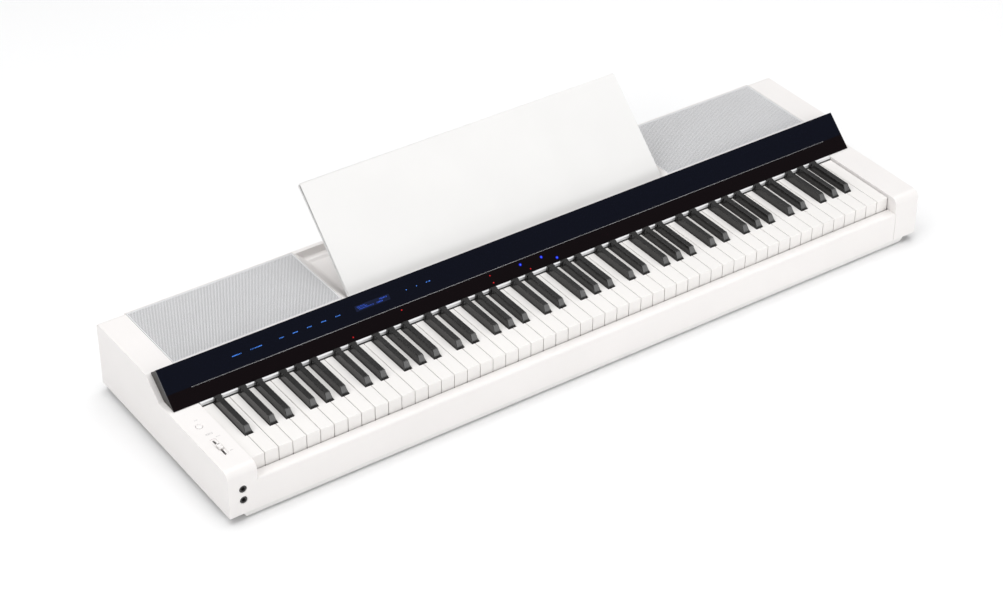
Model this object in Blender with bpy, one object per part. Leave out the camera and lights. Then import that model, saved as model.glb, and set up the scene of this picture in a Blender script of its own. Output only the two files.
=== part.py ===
"""Slab-type digital piano with 88 keys, built-in speakers and a lift-off music rest.

Every outline is given in case coordinates, in metres: x to the player's right from the middle,
y back from the front face of the case, z up from a level 2 mm above the underside of its walls.
The empty "case_origin" carries them to the part's own frame, whose origin is on the surface the
piano stands on, below the middle of the case.
"""

import math

import bmesh
import bpy
import numpy as np
from mathutils import Vector

# ---------------------------------------------------------------- driving dimensions (metres)
CASE_WIDTH = 1.326
CASE_DEPTH = 0.400
CASE_LIFT = 0.0145         # level z = 0 above the surface the piano stands on
UNDERSIDE = -0.002         # underside of the case walls
GAP = 0.0003               # clearance between pieces that touch
WALL = 0.003               # moulded wall thickness

BLOCK_TOP = 0.080          # top of the end blocks beside the keys
BLOCK_INNER = 0.6154       # inner face of an end block from the middle
FRONT_RADIUS = 0.014       # rounded front edge of an end block
REAR_TOP = 0.111           # top of the rear deck
REAR_RADIUS = 0.0035       # rounded rear edge of the deck
REAR_CORNER = 0.008        # rounded rear corner of an end block
SLOPE_FOOT = 0.203         # where the deck's sloped front starts, from the front face
SLOPE_HEAD = 0.240         # where it reaches the flat deck

WHITE_PITCH = 0.02355
WHITE_COUNT = 52
KEY_GAP = 0.001
KEY_FRONT = 0.021          # front faces of the white keys
KEY_TOP = 0.075
KEY_UNDER = 0.060
SKIRT_BOTTOM = 0.050
SKIRT_THICK = 0.004
BLACK_FRONT = 0.071
BLACK_WIDTH = 0.013
BLACK_TOP_WIDTH = 0.0092
BLACK_TOP = 0.087
BLACK_NOSE = 0.0075        # how far the sloped front of a black key leans back
BLACK_CLEAR = 0.0008       # gap from a black key to the white tails beside it
KEY_SHOWN = 0.1655         # where the keys drop below the strip behind them
TAIL_TOP = 0.070
TAIL_END = 0.244
LEG_THICK = 0.005
COMB_FRONT = 0.247         # the plate that joins the keys of one comb
COMB_REAR = 0.275
COMB_THICK = 0.004
COMB_LEVELS = (0.050, 0.056, 0.062)   # undersides of the three stacked comb plates
PIVOT_Y = 0.260
PIVOT_Z = 0.058

PANEL_HALF = 0.655
PANEL_FOOT = (0.171, 0.0807)          # lower front edge of the control panel
PANEL_HEAD = (0.221, 0.1273)          # upper front edge
GLASS_THICK = 0.003
TRIM_AT = 0.026                       # height of the silver line up the panel's face
TRIM_HALF = 0.614

WELL_TOP_HALF = 0.317
WELL_FLOOR_HALF = 0.300
WELL_FLOOR = 0.094
GRILLE_INNER = 0.3193
GRILLE_OUTER = 0.6148
GRILLE_FRONT = 0.2433
GRILLE_REAR = 0.3957
GRILLE_THICK = 0.0024
WOOFER_X = 0.467
TWEETER_X = 0.365
SPEAKER_Y = 0.3195

REST_HALF = 0.3055
REST_FOOT = (0.2412, 0.1059)          # lower front edge of the music rest
REST_LEAN = math.radians(43.2)        # its slope from the horizontal
REST_LENGTH = 0.1973
REST_THICK = 0.006
STAY_X = 0.150
STAY_ALONG = 0.118                    # stay hinge, measured up the rest
STAY_DEPTH = 0.010                    # and behind its front face
STAY_FOOT = (0.322, 0.0975)

BUTTON_AT = (-0.6400, 0.1215)
SLIDER_AT = (-0.6390, 0.0630)
SLIDER_SLOT = (0.0435, 0.0825)
JACK_X = -0.6385
JACK_HEIGHTS = (0.0435, 0.0235)
JACK_BORE = 0.0032

SOCKET_LOW = (-0.262, 0.018)
SOCKET_HIGH = (-0.098, 0.048)
SOCKET_Z = 0.033
SOCKET_FACE = 0.3986

BOARD_HALF = 0.640
BOARD_LEAN = 0.006
BOARD_THICK = 0.0095
FOOT_RADIUS = 0.015
FOOT_PLACES = {"front_left_foot": (-0.600, 0.040), "front_right_foot": (0.600, 0.040),
               "rear_left_foot": (-0.600, 0.360), "rear_right_foot": (0.600, 0.360)}

# ---------------------------------------------------------------- finishes: colour, roughness, metallic
FINISHES = {
    "body_white": ((0.90, 0.88, 0.86), 0.45, 0.0),
    "key_white": ((0.91, 0.90, 0.88), 0.20, 0.0),
    "key_black": ((0.02, 0.02, 0.022), 0.38, 0.0),
    "panel_gloss": ((0.008, 0.009, 0.014), 0.08, 0.0),
    "dark_plastic": ((0.04, 0.04, 0.042), 0.50, 0.0),
    "grille_cloth": ((0.55, 0.55, 0.56), 0.60, 0.0),
    "trim_silver": ((0.60, 0.59, 0.56), 0.30, 1.0),
    "strip_grey": ((0.70, 0.71, 0.72), 0.60, 0.0),
    "rubber": ((0.03, 0.03, 0.03), 0.80, 0.0),
    "board_wood": ((0.80, 0.78, 0.76), 0.60, 0.0),
    "felt_red": ((0.35, 0.05, 0.05), 0.95, 0.0),
    "circuit_green": ((0.03, 0.16, 0.07), 0.45, 0.0),
    "steel": ((0.45, 0.45, 0.46), 0.35, 1.0),
    "speaker_cone": ((0.05, 0.05, 0.055), 0.70, 0.0),
    "display": ((0.02, 0.03, 0.08), 0.15, 0.0),
}


def clear_scene():
    for obj in list(bpy.data.objects):
        bpy.data.objects.remove(obj, do_unlink=True)


def make_material(name):
    colour, roughness, metallic = FINISHES[name]
    material = bpy.data.materials.new(name)
    material.use_nodes = True
    shader = material.node_tree.nodes["Principled BSDF"]
    shader.inputs["Base Color"].default_value = (*colour, 1.0)
    shader.inputs["Roughness"].default_value = roughness
    shader.inputs["Metallic"].default_value = metallic
    return material


def make_case_origin():
    empty = bpy.data.objects.new("case_origin", None)
    empty.location = (0.0, -CASE_DEPTH / 2, CASE_LIFT)
    bpy.context.scene.collection.objects.link(empty)
    return empty


# ---------------------------------------------------------------- shape tools
def place(name, mesh_data, finish, origin=(0.0, 0.0, 0.0)):
    """Turn a bmesh given in case coordinates into an object whose origin is at `origin`."""
    for vert in mesh_data.verts:
        vert.co -= Vector(origin)
    bmesh.ops.recalc_face_normals(mesh_data, faces=mesh_data.faces)
    mesh = bpy.data.meshes.new(name)
    mesh_data.to_mesh(mesh)
    mesh_data.free()
    mesh.materials.append(materials[finish])
    obj = bpy.data.objects.new(name, mesh)
    obj.location = origin
    obj.parent = case_origin
    bpy.context.scene.collection.objects.link(obj)
    return obj


def prism_mesh(outline, x_low, x_high):
    """An outline of (y, z) points, extruded along x."""
    data = bmesh.new()
    face = data.faces.new([data.verts.new((x_low, y, z)) for y, z in outline])
    moved = bmesh.ops.extrude_face_region(data, geom=[face])["geom"]
    verts = [item for item in moved if isinstance(item, bmesh.types.BMVert)]
    bmesh.ops.translate(data, verts=verts, vec=(x_high - x_low, 0.0, 0.0))
    return data


def block_mesh(blocks):
    """The one solid that a list of (low corner, high corner) blocks fills together."""
    lines = [sorted({round(corner[axis], 7) for block in blocks for corner in block}) for axis in range(3)]
    filled = np.zeros([len(line) + 1 for line in lines], dtype=bool)
    for low, high in blocks:
        span = [slice(lines[a].index(round(low[a], 7)) + 1, lines[a].index(round(high[a], 7)) + 1)
                for a in range(3)]
        filled[tuple(span)] = True
    data = bmesh.new()
    corners = {}
    for axis in range(3):
        first, second = (axis + 1) % 3, (axis + 2) % 3
        step = np.diff(filled.astype(int), axis=axis)
        for cell in zip(*np.nonzero(step)):
            loop = []
            for up, across in ((0, 0), (1, 0), (1, 1), (0, 1)):
                index = [0, 0, 0]
                index[axis] = cell[axis]
                index[first] = cell[first] - 1 + up
                index[second] = cell[second] - 1 + across
                key = tuple(index)
                if key not in corners:
                    corners[key] = data.verts.new([lines[a][key[a]] for a in range(3)])
                loop.append(corners[key])
            data.faces.new(loop if step[cell] < 0 else loop[::-1])
    bmesh.ops.dissolve_limit(data, angle_limit=0.01, verts=data.verts, edges=data.edges)
    return data


def turned_mesh(profile, centre, axis, steps=24):
    """A closed (radius, height) profile turned about `axis` through `centre`."""
    data = bmesh.new()
    rings = []
    for radius, height in profile:
        if radius == 0.0:
            rings.append([data.verts.new((0.0, 0.0, height))])
            continue
        angles = [math.tau * step / steps for step in range(steps)]
        rings.append([data.verts.new((radius * math.cos(a), radius * math.sin(a), height)) for a in angles])
    for low, high in zip(rings, rings[1:]):
        for step in range(steps):
            after = (step + 1) % steps
            corners = [low[step % len(low)], low[after % len(low)],
                       high[after % len(high)], high[step % len(high)]]
            data.faces.new(list(dict.fromkeys(corners)))
    for ring in (rings[0], rings[-1]):
        if len(ring) > 1:
            data.faces.new(ring)
    turn = Vector((0.0, 0.0, 1.0)).rotation_difference(Vector(axis)).to_matrix()
    bmesh.ops.rotate(data, verts=data.verts, cent=(0.0, 0.0, 0.0), matrix=turn)
    bmesh.ops.translate(data, verts=data.verts, vec=centre)
    return data


def helper(name, mesh_data, origin):
    obj = place(name, mesh_data, "body_white", origin)
    obj.hide_render = True
    obj.display_type = "WIRE"
    return obj


def combine(obj, mesh_data, operation):
    """Cut `mesh_data` from the object or join it on, with a live Boolean modifier."""
    tool = helper(f"{obj.name}_{operation.lower()}_{len(obj.modifiers)}", mesh_data, tuple(obj.location))
    modifier = obj.modifiers.new(tool.name, "BOOLEAN")
    modifier.operation = operation
    modifier.solver = "EXACT"
    modifier.object = tool


def cut(obj, mesh_data):
    combine(obj, mesh_data, "DIFFERENCE")


def join(obj, mesh_data):
    combine(obj, mesh_data, "UNION")


def soften(obj, width, segments=2):
    modifier = obj.modifiers.new("soft_edges", "BEVEL")
    modifier.width = width
    modifier.segments = segments
    modifier.limit_method = "ANGLE"
    modifier.angle_limit = math.radians(35)


def arc(centre, radius, start, end, steps):
    """Points of a round corner in the (y, z) plane, angles in degrees."""
    angles = [math.radians(start + (end - start) * step / steps) for step in range(steps + 1)]
    return [(centre[0] + radius * math.cos(a), centre[1] + radius * math.sin(a)) for a in angles]


def box(low, high):
    return block_mesh([(low, high)])


def sloped(foot, lean):
    """A function from (distance along a slope, depth behind its face) to (y, z)."""
    along = (math.cos(lean), math.sin(lean))
    behind = (math.sin(lean), -math.cos(lean))
    return lambda s, d: (foot[0] + s * along[0] + d * behind[0], foot[1] + s * along[1] + d * behind[1])


# ---------------------------------------------------------------- case
def end_block_outline(inset):
    """Side view of an end block; a positive inset gives the hollow inside it."""
    slope_shift = inset / 3    # keeps the wall as thick along the slope
    front = arc((FRONT_RADIUS, BLOCK_TOP - FRONT_RADIUS), FRONT_RADIUS - inset, 180, 90, 5)
    slope = [(SLOPE_FOOT + slope_shift, BLOCK_TOP - inset), (SLOPE_HEAD + slope_shift, REAR_TOP - inset)]
    rear = arc((CASE_DEPTH - REAR_CORNER, REAR_TOP - REAR_CORNER), REAR_CORNER - inset, 90, 0, 4)
    bottom = UNDERSIDE - 0.010 if inset else UNDERSIDE
    return front + slope + rear + [(CASE_DEPTH - inset, bottom), (inset, bottom)]


def make_end_block(name, side):
    x_low, x_high = sorted((side * BLOCK_INNER, side * CASE_WIDTH / 2))
    obj = place(name, prism_mesh(end_block_outline(0.0), x_low, x_high), "body_white")
    soften(obj, 0.0022)
    cut(obj, prism_mesh(end_block_outline(WALL), x_low + WALL, x_high - WALL))
    return obj


def make_left_end_block():
    obj = make_end_block("left_end_block", -1)
    for height in JACK_HEIGHTS:
        hole = [(0.0062, -0.002), (0.0062, 0.008)]
        cut(obj, turned_mesh(hole, (JACK_X, 0.0, height), (0, 1, 0)))
    x, y = BUTTON_AT
    cut(obj, turned_mesh([(0.0056, 0.070), (0.0056, 0.090)], (x, y, 0.0), (0, 0, 1)))
    x = SLIDER_AT[0]
    cut(obj, box((x - 0.002, SLIDER_SLOT[0], 0.070), (x + 0.002, SLIDER_SLOT[1], 0.090)))


def make_bottom_board():
    """A board whose edges lean inwards to its lower face, on four rubber feet."""
    top, bottom = UNDERSIDE - GAP, UNDERSIDE - BOARD_THICK
    data = box((-BOARD_HALF, 0.0015, bottom), (BOARD_HALF, 0.3985, top))
    for vert in data.verts:
        if vert.co.z < top - GAP:
            vert.co.x -= math.copysign(BOARD_LEAN, vert.co.x)
            vert.co.y += 0.0015 if vert.co.y < CASE_DEPTH / 2 else -0.0015
    place("bottom_board", data, "board_wood")
    profile = [(FOOT_RADIUS - 0.001, -CASE_LIFT), (FOOT_RADIUS, 0.001 - CASE_LIFT),
               (FOOT_RADIUS - 0.001, bottom - GAP)]
    for name, (x, y) in FOOT_PLACES.items():
        place(name, turned_mesh(profile, (x, y, 0.0), (0, 0, 1), 20), "rubber")


def make_front_rail():
    half = BLOCK_INNER - GAP
    front, top, rear = 0.0015, 0.052, 0.0195
    outline = ([(front, UNDERSIDE)] + arc((front + 0.004, top - 0.004), 0.004, 180, 90, 3)
               + [(rear, top), (rear, 0.042), (rear - 0.0025, 0.042), (rear - 0.0025, top - WALL),
                  (front + WALL, top - WALL), (front + WALL, UNDERSIDE)])
    place("front_rail", prism_mesh(outline, -half, half), "body_white")


def make_rear_panel():
    half = BLOCK_INNER - GAP
    obj = place("rear_panel", box((-half, 0.3968, UNDERSIDE), (half, CASE_DEPTH, 0.100)), "body_white")
    low, high = SOCKET_LOW, SOCKET_HIGH
    window = box((low[0] - GAP, 0.390, low[1] - GAP), (high[0] + GAP, 0.405, high[1] + GAP))
    cut(obj, window)


def make_top_cover():
    """Deck between the end blocks: sloped panel seat, speaker pockets and the well for the rest."""
    half = BLOCK_INNER - GAP
    under = 0.105
    outer = [(SLOPE_FOOT, BLOCK_TOP), (SLOPE_HEAD, REAR_TOP)]
    outer += arc((CASE_DEPTH - REAR_RADIUS, REAR_TOP - REAR_RADIUS), REAR_RADIUS, 90, 0, 3)
    inner = [(CASE_DEPTH, 0.1003), (0.3965, 0.1003), (0.3965, under), (0.23835, under), (0.206, 0.0779)]
    obj = place("top_cover", prism_mesh(outer + inner, -half, half), "body_white")
    tub_half = WELL_TOP_HALF + 0.005
    join(obj, box((-tub_half, 0.2360, WELL_FLOOR - WALL), (tub_half, 0.393, 0.1070)))
    cut(obj, well_mesh())
    for side in (-1, 1):
        x_low, x_high = sorted((side * (GRILLE_INNER - GAP), side * (half + 0.005)))
        pocket_floor = REAR_TOP - GRILLE_THICK - GAP
        pocket_low = (x_low, GRILLE_FRONT - GAP, pocket_floor)
        cut(obj, box(pocket_low, (x_high, GRILLE_REAR + GAP, REAR_TOP + 0.004)))
        for x, radius in ((WOOFER_X, 0.058), (TWEETER_X, 0.023)):
            hole = [(radius, 0.100), (radius, 0.115)]
            cut(obj, turned_mesh(hole, (side * x, SPEAKER_Y, 0.0), (0, 0, 1), 32))


def well_mesh():
    """The recess behind the panel, with a ledge for the rest in front and a step at the rear."""
    brim = REAR_TOP + 0.001
    outline = [(0.2415, brim), (0.2415, 0.101), (0.2475, 0.101), (0.2475, WELL_FLOOR), (0.378, WELL_FLOOR),
               (0.378, 0.098), (0.390, 0.098), (0.390, brim)]
    data = prism_mesh(outline, -WELL_FLOOR_HALF, WELL_FLOOR_HALF)
    flare = (WELL_TOP_HALF - WELL_FLOOR_HALF) / (REAR_TOP - WELL_FLOOR)
    for vert in data.verts:
        half = WELL_FLOOR_HALF + flare * (vert.co.z - WELL_FLOOR)
        vert.co.x = math.copysign(half, vert.co.x)
    return data


def make_grilles_and_speakers():
    woofer = [(0.0, 0.064), (0.030, 0.064), (0.030, 0.082), (0.036, 0.084), (0.060, 0.098), (0.066, 0.100),
              (0.066, 0.1047), (0.057, 0.1047), (0.052, 0.1020), (0.018, 0.089), (0.010, 0.094), (0.0, 0.095)]
    tweeter = [(0.0, 0.086), (0.019, 0.086), (0.019, 0.100), (0.028, 0.101), (0.028, 0.1047),
               (0.018, 0.1047), (0.015, 0.1010), (0.008, 0.1035), (0.0, 0.1040)]
    for name, side in (("left", -1), ("right", 1)):
        x_low, x_high = sorted((side * GRILLE_INNER, side * GRILLE_OUTER))
        mesh_data = box((x_low, GRILLE_FRONT, REAR_TOP - GRILLE_THICK), (x_high, GRILLE_REAR, REAR_TOP))
        place(f"{name}_grille", mesh_data, "grille_cloth")
        for kind, profile, x in (("woofer", woofer, WOOFER_X), ("tweeter", tweeter, TWEETER_X)):
            driver = turned_mesh(profile, (side * x, SPEAKER_Y, 0.0), (0, 0, 1), 28)
            place(f"{name}_{kind}", driver, "speaker_cone")


# ---------------------------------------------------------------- control panel
def panel_slope():
    rise, run = PANEL_HEAD[1] - PANEL_FOOT[1], PANEL_HEAD[0] - PANEL_FOOT[0]
    return sloped(PANEL_FOOT, math.atan2(rise, run)), math.hypot(rise, run), math.atan2(rise, run)


def panel_foot_at(depth):
    """Where a layer of the panel at this depth meets the level of the panel's lower edge."""
    at, _, lean = panel_slope()
    return at(depth * math.cos(lean) / math.sin(lean), depth)


def panel_box(s_low, s_high, d_low, d_high, x_low, x_high):
    at = panel_slope()[0]
    outline = [at(s_low, d_low), at(s_high, d_low), at(s_high, d_high), at(s_low, d_high)]
    return prism_mesh(outline, x_low, x_high)


def make_panel():
    at, length, _ = panel_slope()
    glass_outline = [PANEL_FOOT, at(length, 0.0), at(length, GLASS_THICK), panel_foot_at(GLASS_THICK)]
    glass = place("panel_glass", prism_mesh(glass_outline, -PANEL_HALF, PANEL_HALF), "panel_gloss")
    trim_half, trim_deep = 0.0006, 0.0010
    groove = (TRIM_AT - trim_half - GAP, TRIM_AT + trim_half + GAP, -0.001, trim_deep + GAP)
    cut(glass, panel_box(*groove, -TRIM_HALF - GAP, TRIM_HALF + GAP))
    trim = panel_box(TRIM_AT - trim_half, TRIM_AT + trim_half, 0.0, trim_deep, -TRIM_HALF, TRIM_HALF)
    place("panel_trim_line", trim, "trim_silver")
    layer = GLASS_THICK + GAP
    housing_outline = [panel_foot_at(layer), at(length, layer), (0.2396, 0.1117), (0.2027, PANEL_FOOT[1])]
    housing = place("panel_housing", prism_mesh(housing_outline, -PANEL_HALF, PANEL_HALF), "dark_plastic")
    cut(housing, panel_box(0.020, 0.062, layer - 0.002, 0.0125, -0.640, 0.640))
    place("touch_sensor_board", panel_box(0.022, 0.060, 0.0085, 0.0101, -0.630, 0.630), "circuit_green")
    place("display_module", panel_box(0.036, 0.055, 0.0037, 0.0080, -0.326, -0.250), "display")


def make_key_strip():
    front, rear = 0.1675, 0.2000
    top = PANEL_FOOT[1] - GAP
    outline = [(front, 0.0745), (front, top), (rear, top), (rear, 0.0784), (front + 0.003, 0.0784),
               (front + 0.003, 0.0745)]
    place("key_strip", prism_mesh(outline, -0.612, 0.612), "strip_grey")


# ---------------------------------------------------------------- keys
def white_left(index):
    return (index - WHITE_COUNT / 2) * WHITE_PITCH


def black_centres(first_white):
    """Centres of the five black keys of the octave whose C is this white key.

    The tails of C, D, E share three key widths less two black keys, and those of F, G, A, B
    four widths less three, so each group has its own tail width.
    """
    centres = []
    for start, whites in ((0, 3), (3, 4)):
        tail = (whites * WHITE_PITCH - (whites - 1) * BLACK_WIDTH) / whites
        left = white_left(first_white + start)
        centres += [left + (i + 1) * tail + (i + 0.5) * BLACK_WIDTH for i in range(whites - 1)]
    return centres


def all_black_centres():
    lowest = black_centres(-5)[-1]
    return [lowest] + [x for octave in range(7) for x in black_centres(2 + 7 * octave)]


def tail_span(index):
    """Left and right side of a white key between the black keys beside it."""
    left, right = white_left(index) + KEY_GAP / 2, white_left(index + 1) - KEY_GAP / 2
    reach = BLACK_WIDTH / 2 + BLACK_CLEAR
    for centre in all_black_centres():
        if centre < left + WHITE_PITCH / 2 and centre + reach > left:
            left = centre + reach
        if centre > right - WHITE_PITCH / 2 and centre - reach < right:
            right = centre - reach
    return left, right


def tail_blocks(left, right, level, top):
    """The hidden rear of a key, down to the plate of its comb."""
    return [((left, KEY_SHOWN, KEY_UNDER), (right, TAIL_END, top)),
            ((left, TAIL_END - LEG_THICK, level), (right, TAIL_END, KEY_UNDER + 0.001)),
            ((left, TAIL_END - 0.001, level), (right, COMB_FRONT + 0.001, level + COMB_THICK))]


def white_key_blocks(index, level):
    left, right = white_left(index) + KEY_GAP / 2, white_left(index + 1) - KEY_GAP / 2
    tail_left, tail_right = tail_span(index)
    notch = BLACK_FRONT - KEY_GAP
    return [((left, KEY_FRONT, KEY_UNDER), (right, notch, KEY_TOP)),
            ((left, KEY_FRONT, SKIRT_BOTTOM), (right, KEY_FRONT + SKIRT_THICK, KEY_TOP)),
            ((tail_left, notch - 0.001, KEY_UNDER), (tail_right, KEY_SHOWN, KEY_TOP)),
            *tail_blocks(tail_left, tail_right, level, TAIL_TOP)]


def comb_plate(first_white, last_white, level):
    left, right = white_left(first_white) + KEY_GAP / 2, white_left(last_white + 1) - KEY_GAP / 2
    return (left, COMB_FRONT, level), (right, COMB_REAR, level + COMB_THICK)


def black_key_mesh(centres):
    """Tapered bodies with a sloped front, one for each centre."""
    half, top_half, shoulder = BLACK_WIDTH / 2, BLACK_TOP_WIDTH / 2, KEY_TOP + 0.0005
    low = COMB_LEVELS[2]
    section = [(-half, low), (half, low), (half, shoulder), (top_half, BLACK_TOP), (-top_half, BLACK_TOP),
               (-half, shoulder)]
    data = bmesh.new()
    for centre in centres:
        rings = []
        for y, lean in ((BLACK_FRONT, BLACK_NOSE), (KEY_SHOWN - 0.0005, 0.0)):
            points = [(centre + x, y + (lean if z == BLACK_TOP else 0.0), z) for x, z in section]
            rings.append([data.verts.new(point) for point in points])
        for i in range(len(section)):
            after = (i + 1) % len(section)
            data.faces.new((rings[0][i], rings[0][after], rings[1][after], rings[1][i]))
        data.faces.new(rings[0])
        data.faces.new(rings[1])
    return data


def key_pivot(first_white, last_white):
    middle = (white_left(first_white) + white_left(last_white + 1)) / 2
    return middle, PIVOT_Y, PIVOT_Z


def make_white_comb(name, keys, first_white, last_white, level_index):
    level = COMB_LEVELS[level_index]
    blocks = [comb_plate(first_white, last_white, level)]
    for index in keys:
        blocks += white_key_blocks(index, level)
    place(name, block_mesh(blocks), "key_white", key_pivot(first_white, last_white))


def make_black_comb(name, centres, first_white, last_white):
    level = COMB_LEVELS[2]
    half = BLACK_WIDTH / 2
    blocks = [comb_plate(first_white, last_white, level)]
    for centre in centres:
        blocks.append(((centre - half, KEY_SHOWN - 0.004, level), (centre + half, TAIL_END, TAIL_TOP)))
        blocks.append(((centre - half, TAIL_END - 0.001, level),
                       (centre + half, COMB_FRONT + 0.001, level + COMB_THICK)))
    obj = place(name, block_mesh(blocks), "key_black", key_pivot(first_white, last_white))
    join(obj, black_key_mesh(centres))


def make_keys():
    make_white_comb("white_keys_low_end", (0, 1), 0, 1, 0)
    make_black_comb("black_key_low_end", all_black_centres()[:1], 0, 1)
    for octave in range(7):
        c = 2 + 7 * octave
        make_white_comb(f"white_keys_c_e_g_b_{octave + 1}", (c, c + 2, c + 4, c + 6), c, c + 6, 0)
        make_white_comb(f"white_keys_d_f_a_{octave + 1}", (c + 1, c + 3, c + 5), c, c + 6, 1)
        make_black_comb(f"black_keys_{octave + 1}", black_centres(c), c, c + 6)
    last = WHITE_COUNT - 1
    make_white_comb("white_key_high_end", (last,), last, last, 0)


# ---------------------------------------------------------------- inside the case
def make_key_chassis():
    outline = [(0.028, UNDERSIDE), (0.284, UNDERSIDE), (0.284, 0.048), (0.264, 0.048), (0.264, 0.044),
               (0.280, 0.044), (0.280, 0.002), (0.032, 0.002), (0.032, 0.040), (0.042, 0.040),
               (0.042, 0.044), (0.028, 0.044)]
    place("key_chassis", prism_mesh(outline, -0.611, 0.611), "dark_plastic")
    place("key_stop_felt", box((-0.610, 0.029, 0.044 + GAP), (0.610, 0.041, 0.0495)), "felt_red")


def make_hammer_bank():
    arm_half, arm_low, arm_high = 0.003, 0.022, 0.028
    blocks = [((-0.610, 0.196, 0.002 + GAP), (0.610, 0.208, 0.024))]
    centres = all_black_centres() + [sum(tail_span(index)) / 2 for index in range(WHITE_COUNT)]
    for x in centres:
        blocks.append(((x - arm_half, 0.052, arm_low), (x + arm_half, 0.236, arm_high)))
    place("hammer_bank", block_mesh(blocks), "steel")


def make_circuit_boards():
    place("key_contact_board", box((-0.608, 0.060, 0.0055), (0.608, 0.120, 0.0071)), "circuit_green")
    main = [((-0.320, 0.296, 0.008), (-0.040, 0.372, 0.0096)),
            ((-0.250, 0.315, 0.0090), (-0.222, 0.343, 0.0116)),
            ((-0.180, 0.320, 0.0090), (-0.164, 0.336, 0.0110)),
            ((-0.110, 0.305, 0.0090), (-0.070, 0.325, 0.0120))]
    place("main_board", block_mesh(main), "circuit_green")
    amplifier = [((0.080, 0.300, 0.008), (0.240, 0.370, 0.0096)),
                 ((0.100, 0.312, 0.0090), (0.140, 0.352, 0.0320)),
                 ((0.170, 0.315, 0.0090), (0.186, 0.331, 0.0300)),
                 ((0.200, 0.315, 0.0090), (0.216, 0.331, 0.0300))]
    place("amplifier_board", block_mesh(amplifier), "circuit_green")


# ---------------------------------------------------------------- controls and sockets
def make_power_button():
    profile = [(0.0068, 0.0735), (0.0068, 0.0767), (0.0052, 0.0767), (0.0052, 0.0803), (0.0047, 0.0808)]
    x, y = BUTTON_AT
    place("power_button", turned_mesh(profile, (x, y, 0.0), (0, 0, 1), 24), "body_white", (x, y, 0.0735))


def make_volume_slider():
    x, y = SLIDER_AT
    blocks = [((x - 0.0045, y - 0.005, 0.0725), (x + 0.0045, y + 0.005, 0.0767)),
              ((x - 0.0015, y - 0.003, 0.0725), (x + 0.0015, y + 0.003, 0.0820)),
              ((x - 0.0033, y - 0.0065, BLOCK_TOP + GAP), (x + 0.0033, y + 0.0065, 0.0832))]
    place("volume_slider", block_mesh(blocks), "body_white", (x, y, 0.0725))


def make_headphone_jacks():
    mesh_data = box((-0.6500, 0.0034, 0.012), (-0.6270, 0.026, 0.056))
    obj = place("headphone_jack_block", mesh_data, "dark_plastic")
    for height in JACK_HEIGHTS:
        join(obj, turned_mesh([(0.0059, 0.0002), (0.0059, 0.005)], (JACK_X, 0.0, height), (0, 1, 0)))
    for height in JACK_HEIGHTS:
        cut(obj, turned_mesh([(JACK_BORE, -0.002), (JACK_BORE, 0.023)], (JACK_X, 0.0, height), (0, 1, 0)))


def make_rear_sockets():
    low, high = SOCKET_LOW, SOCKET_HIGH
    mesh_data = box((low[0], 0.378, low[1]), (high[0], SOCKET_FACE, high[1]))
    obj = place("rear_socket_block", mesh_data, "dark_plastic")
    for x, radius, deep in ((-0.112, 0.0032, 0.012), (-0.222, 0.0032, 0.016), (-0.244, 0.0032, 0.016)):
        hole = [(radius, SOCKET_FACE - deep), (radius, 0.405)]
        cut(obj, turned_mesh(hole, (x, 0.0, SOCKET_Z), (0, 1, 0)))
    for x, half_wide, half_high in ((-0.140, 0.0043, 0.0040), (-0.172, 0.0063, 0.0030)):
        port_low = (x - half_wide, 0.3866, SOCKET_Z - half_high)
        cut(obj, box(port_low, (x + half_wide, 0.405, SOCKET_Z + half_high)))


# ---------------------------------------------------------------- music rest
def make_music_rest():
    at = sloped(REST_FOOT, REST_LEAN)
    slab = [at(0.0, 0.0), at(REST_LENGTH, 0.0), at(REST_LENGTH, REST_THICK), at(0.0, REST_THICK)]
    obj = place("music_rest", prism_mesh(slab, -REST_HALF, REST_HALF), "body_white")
    soften(obj, 0.0012)
    s = STAY_ALONG
    lug = [at(s - 0.008, 0.0050), at(s + 0.008, 0.0050), at(s + 0.004, 0.0135), at(s - 0.004, 0.0135)]
    pivot_y, pivot_z = at(s, STAY_DEPTH)
    for side in (-1, 1):
        for ear in (-1, 1):
            x_low, x_high = sorted((side * STAY_X + ear * 0.0123, side * STAY_X + ear * 0.0163))
            join(obj, prism_mesh(lug, x_low, x_high))
        hole = [(0.0019, -0.020), (0.0019, 0.020)]
        cut(obj, turned_mesh(hole, (side * STAY_X, pivot_y, pivot_z), (1, 0, 0), 16))


def make_rest_stays():
    pivot_y, pivot_z = sloped(REST_FOOT, REST_LEAN)(STAY_ALONG, STAY_DEPTH)
    foot_y, foot_z = STAY_FOOT
    lean = math.atan2(pivot_z - foot_z, pivot_y - foot_y)
    at = sloped((foot_y, foot_z), lean)
    length = math.hypot(pivot_y - foot_y, pivot_z - foot_z)
    bar = [at(0.0, -0.002), at(length, -0.002), at(length, 0.002), at(0.0, 0.002)]
    barrel = [(0.0016, -0.0158), (0.0016, -0.012), (0.0032, -0.012), (0.0032, 0.012), (0.0016, 0.012),
              (0.0016, 0.0158)]
    for name, side in (("left_rest_stay", -1), ("right_rest_stay", 1)):
        x = side * STAY_X
        obj = place(name, prism_mesh(bar, x - 0.010, x + 0.010), "steel", (x, pivot_y, pivot_z))
        join(obj, turned_mesh(barrel, (x, pivot_y, pivot_z), (1, 0, 0), 16))
        join(obj, turned_mesh([(0.0032, -0.013), (0.0032, 0.013)], (x, foot_y, foot_z), (1, 0, 0), 16))


def shade_round_pieces():
    for obj in case_origin.children:
        obj.data.shade_smooth()
        obj.data.set_sharp_from_angle(angle=math.radians(35))


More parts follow.
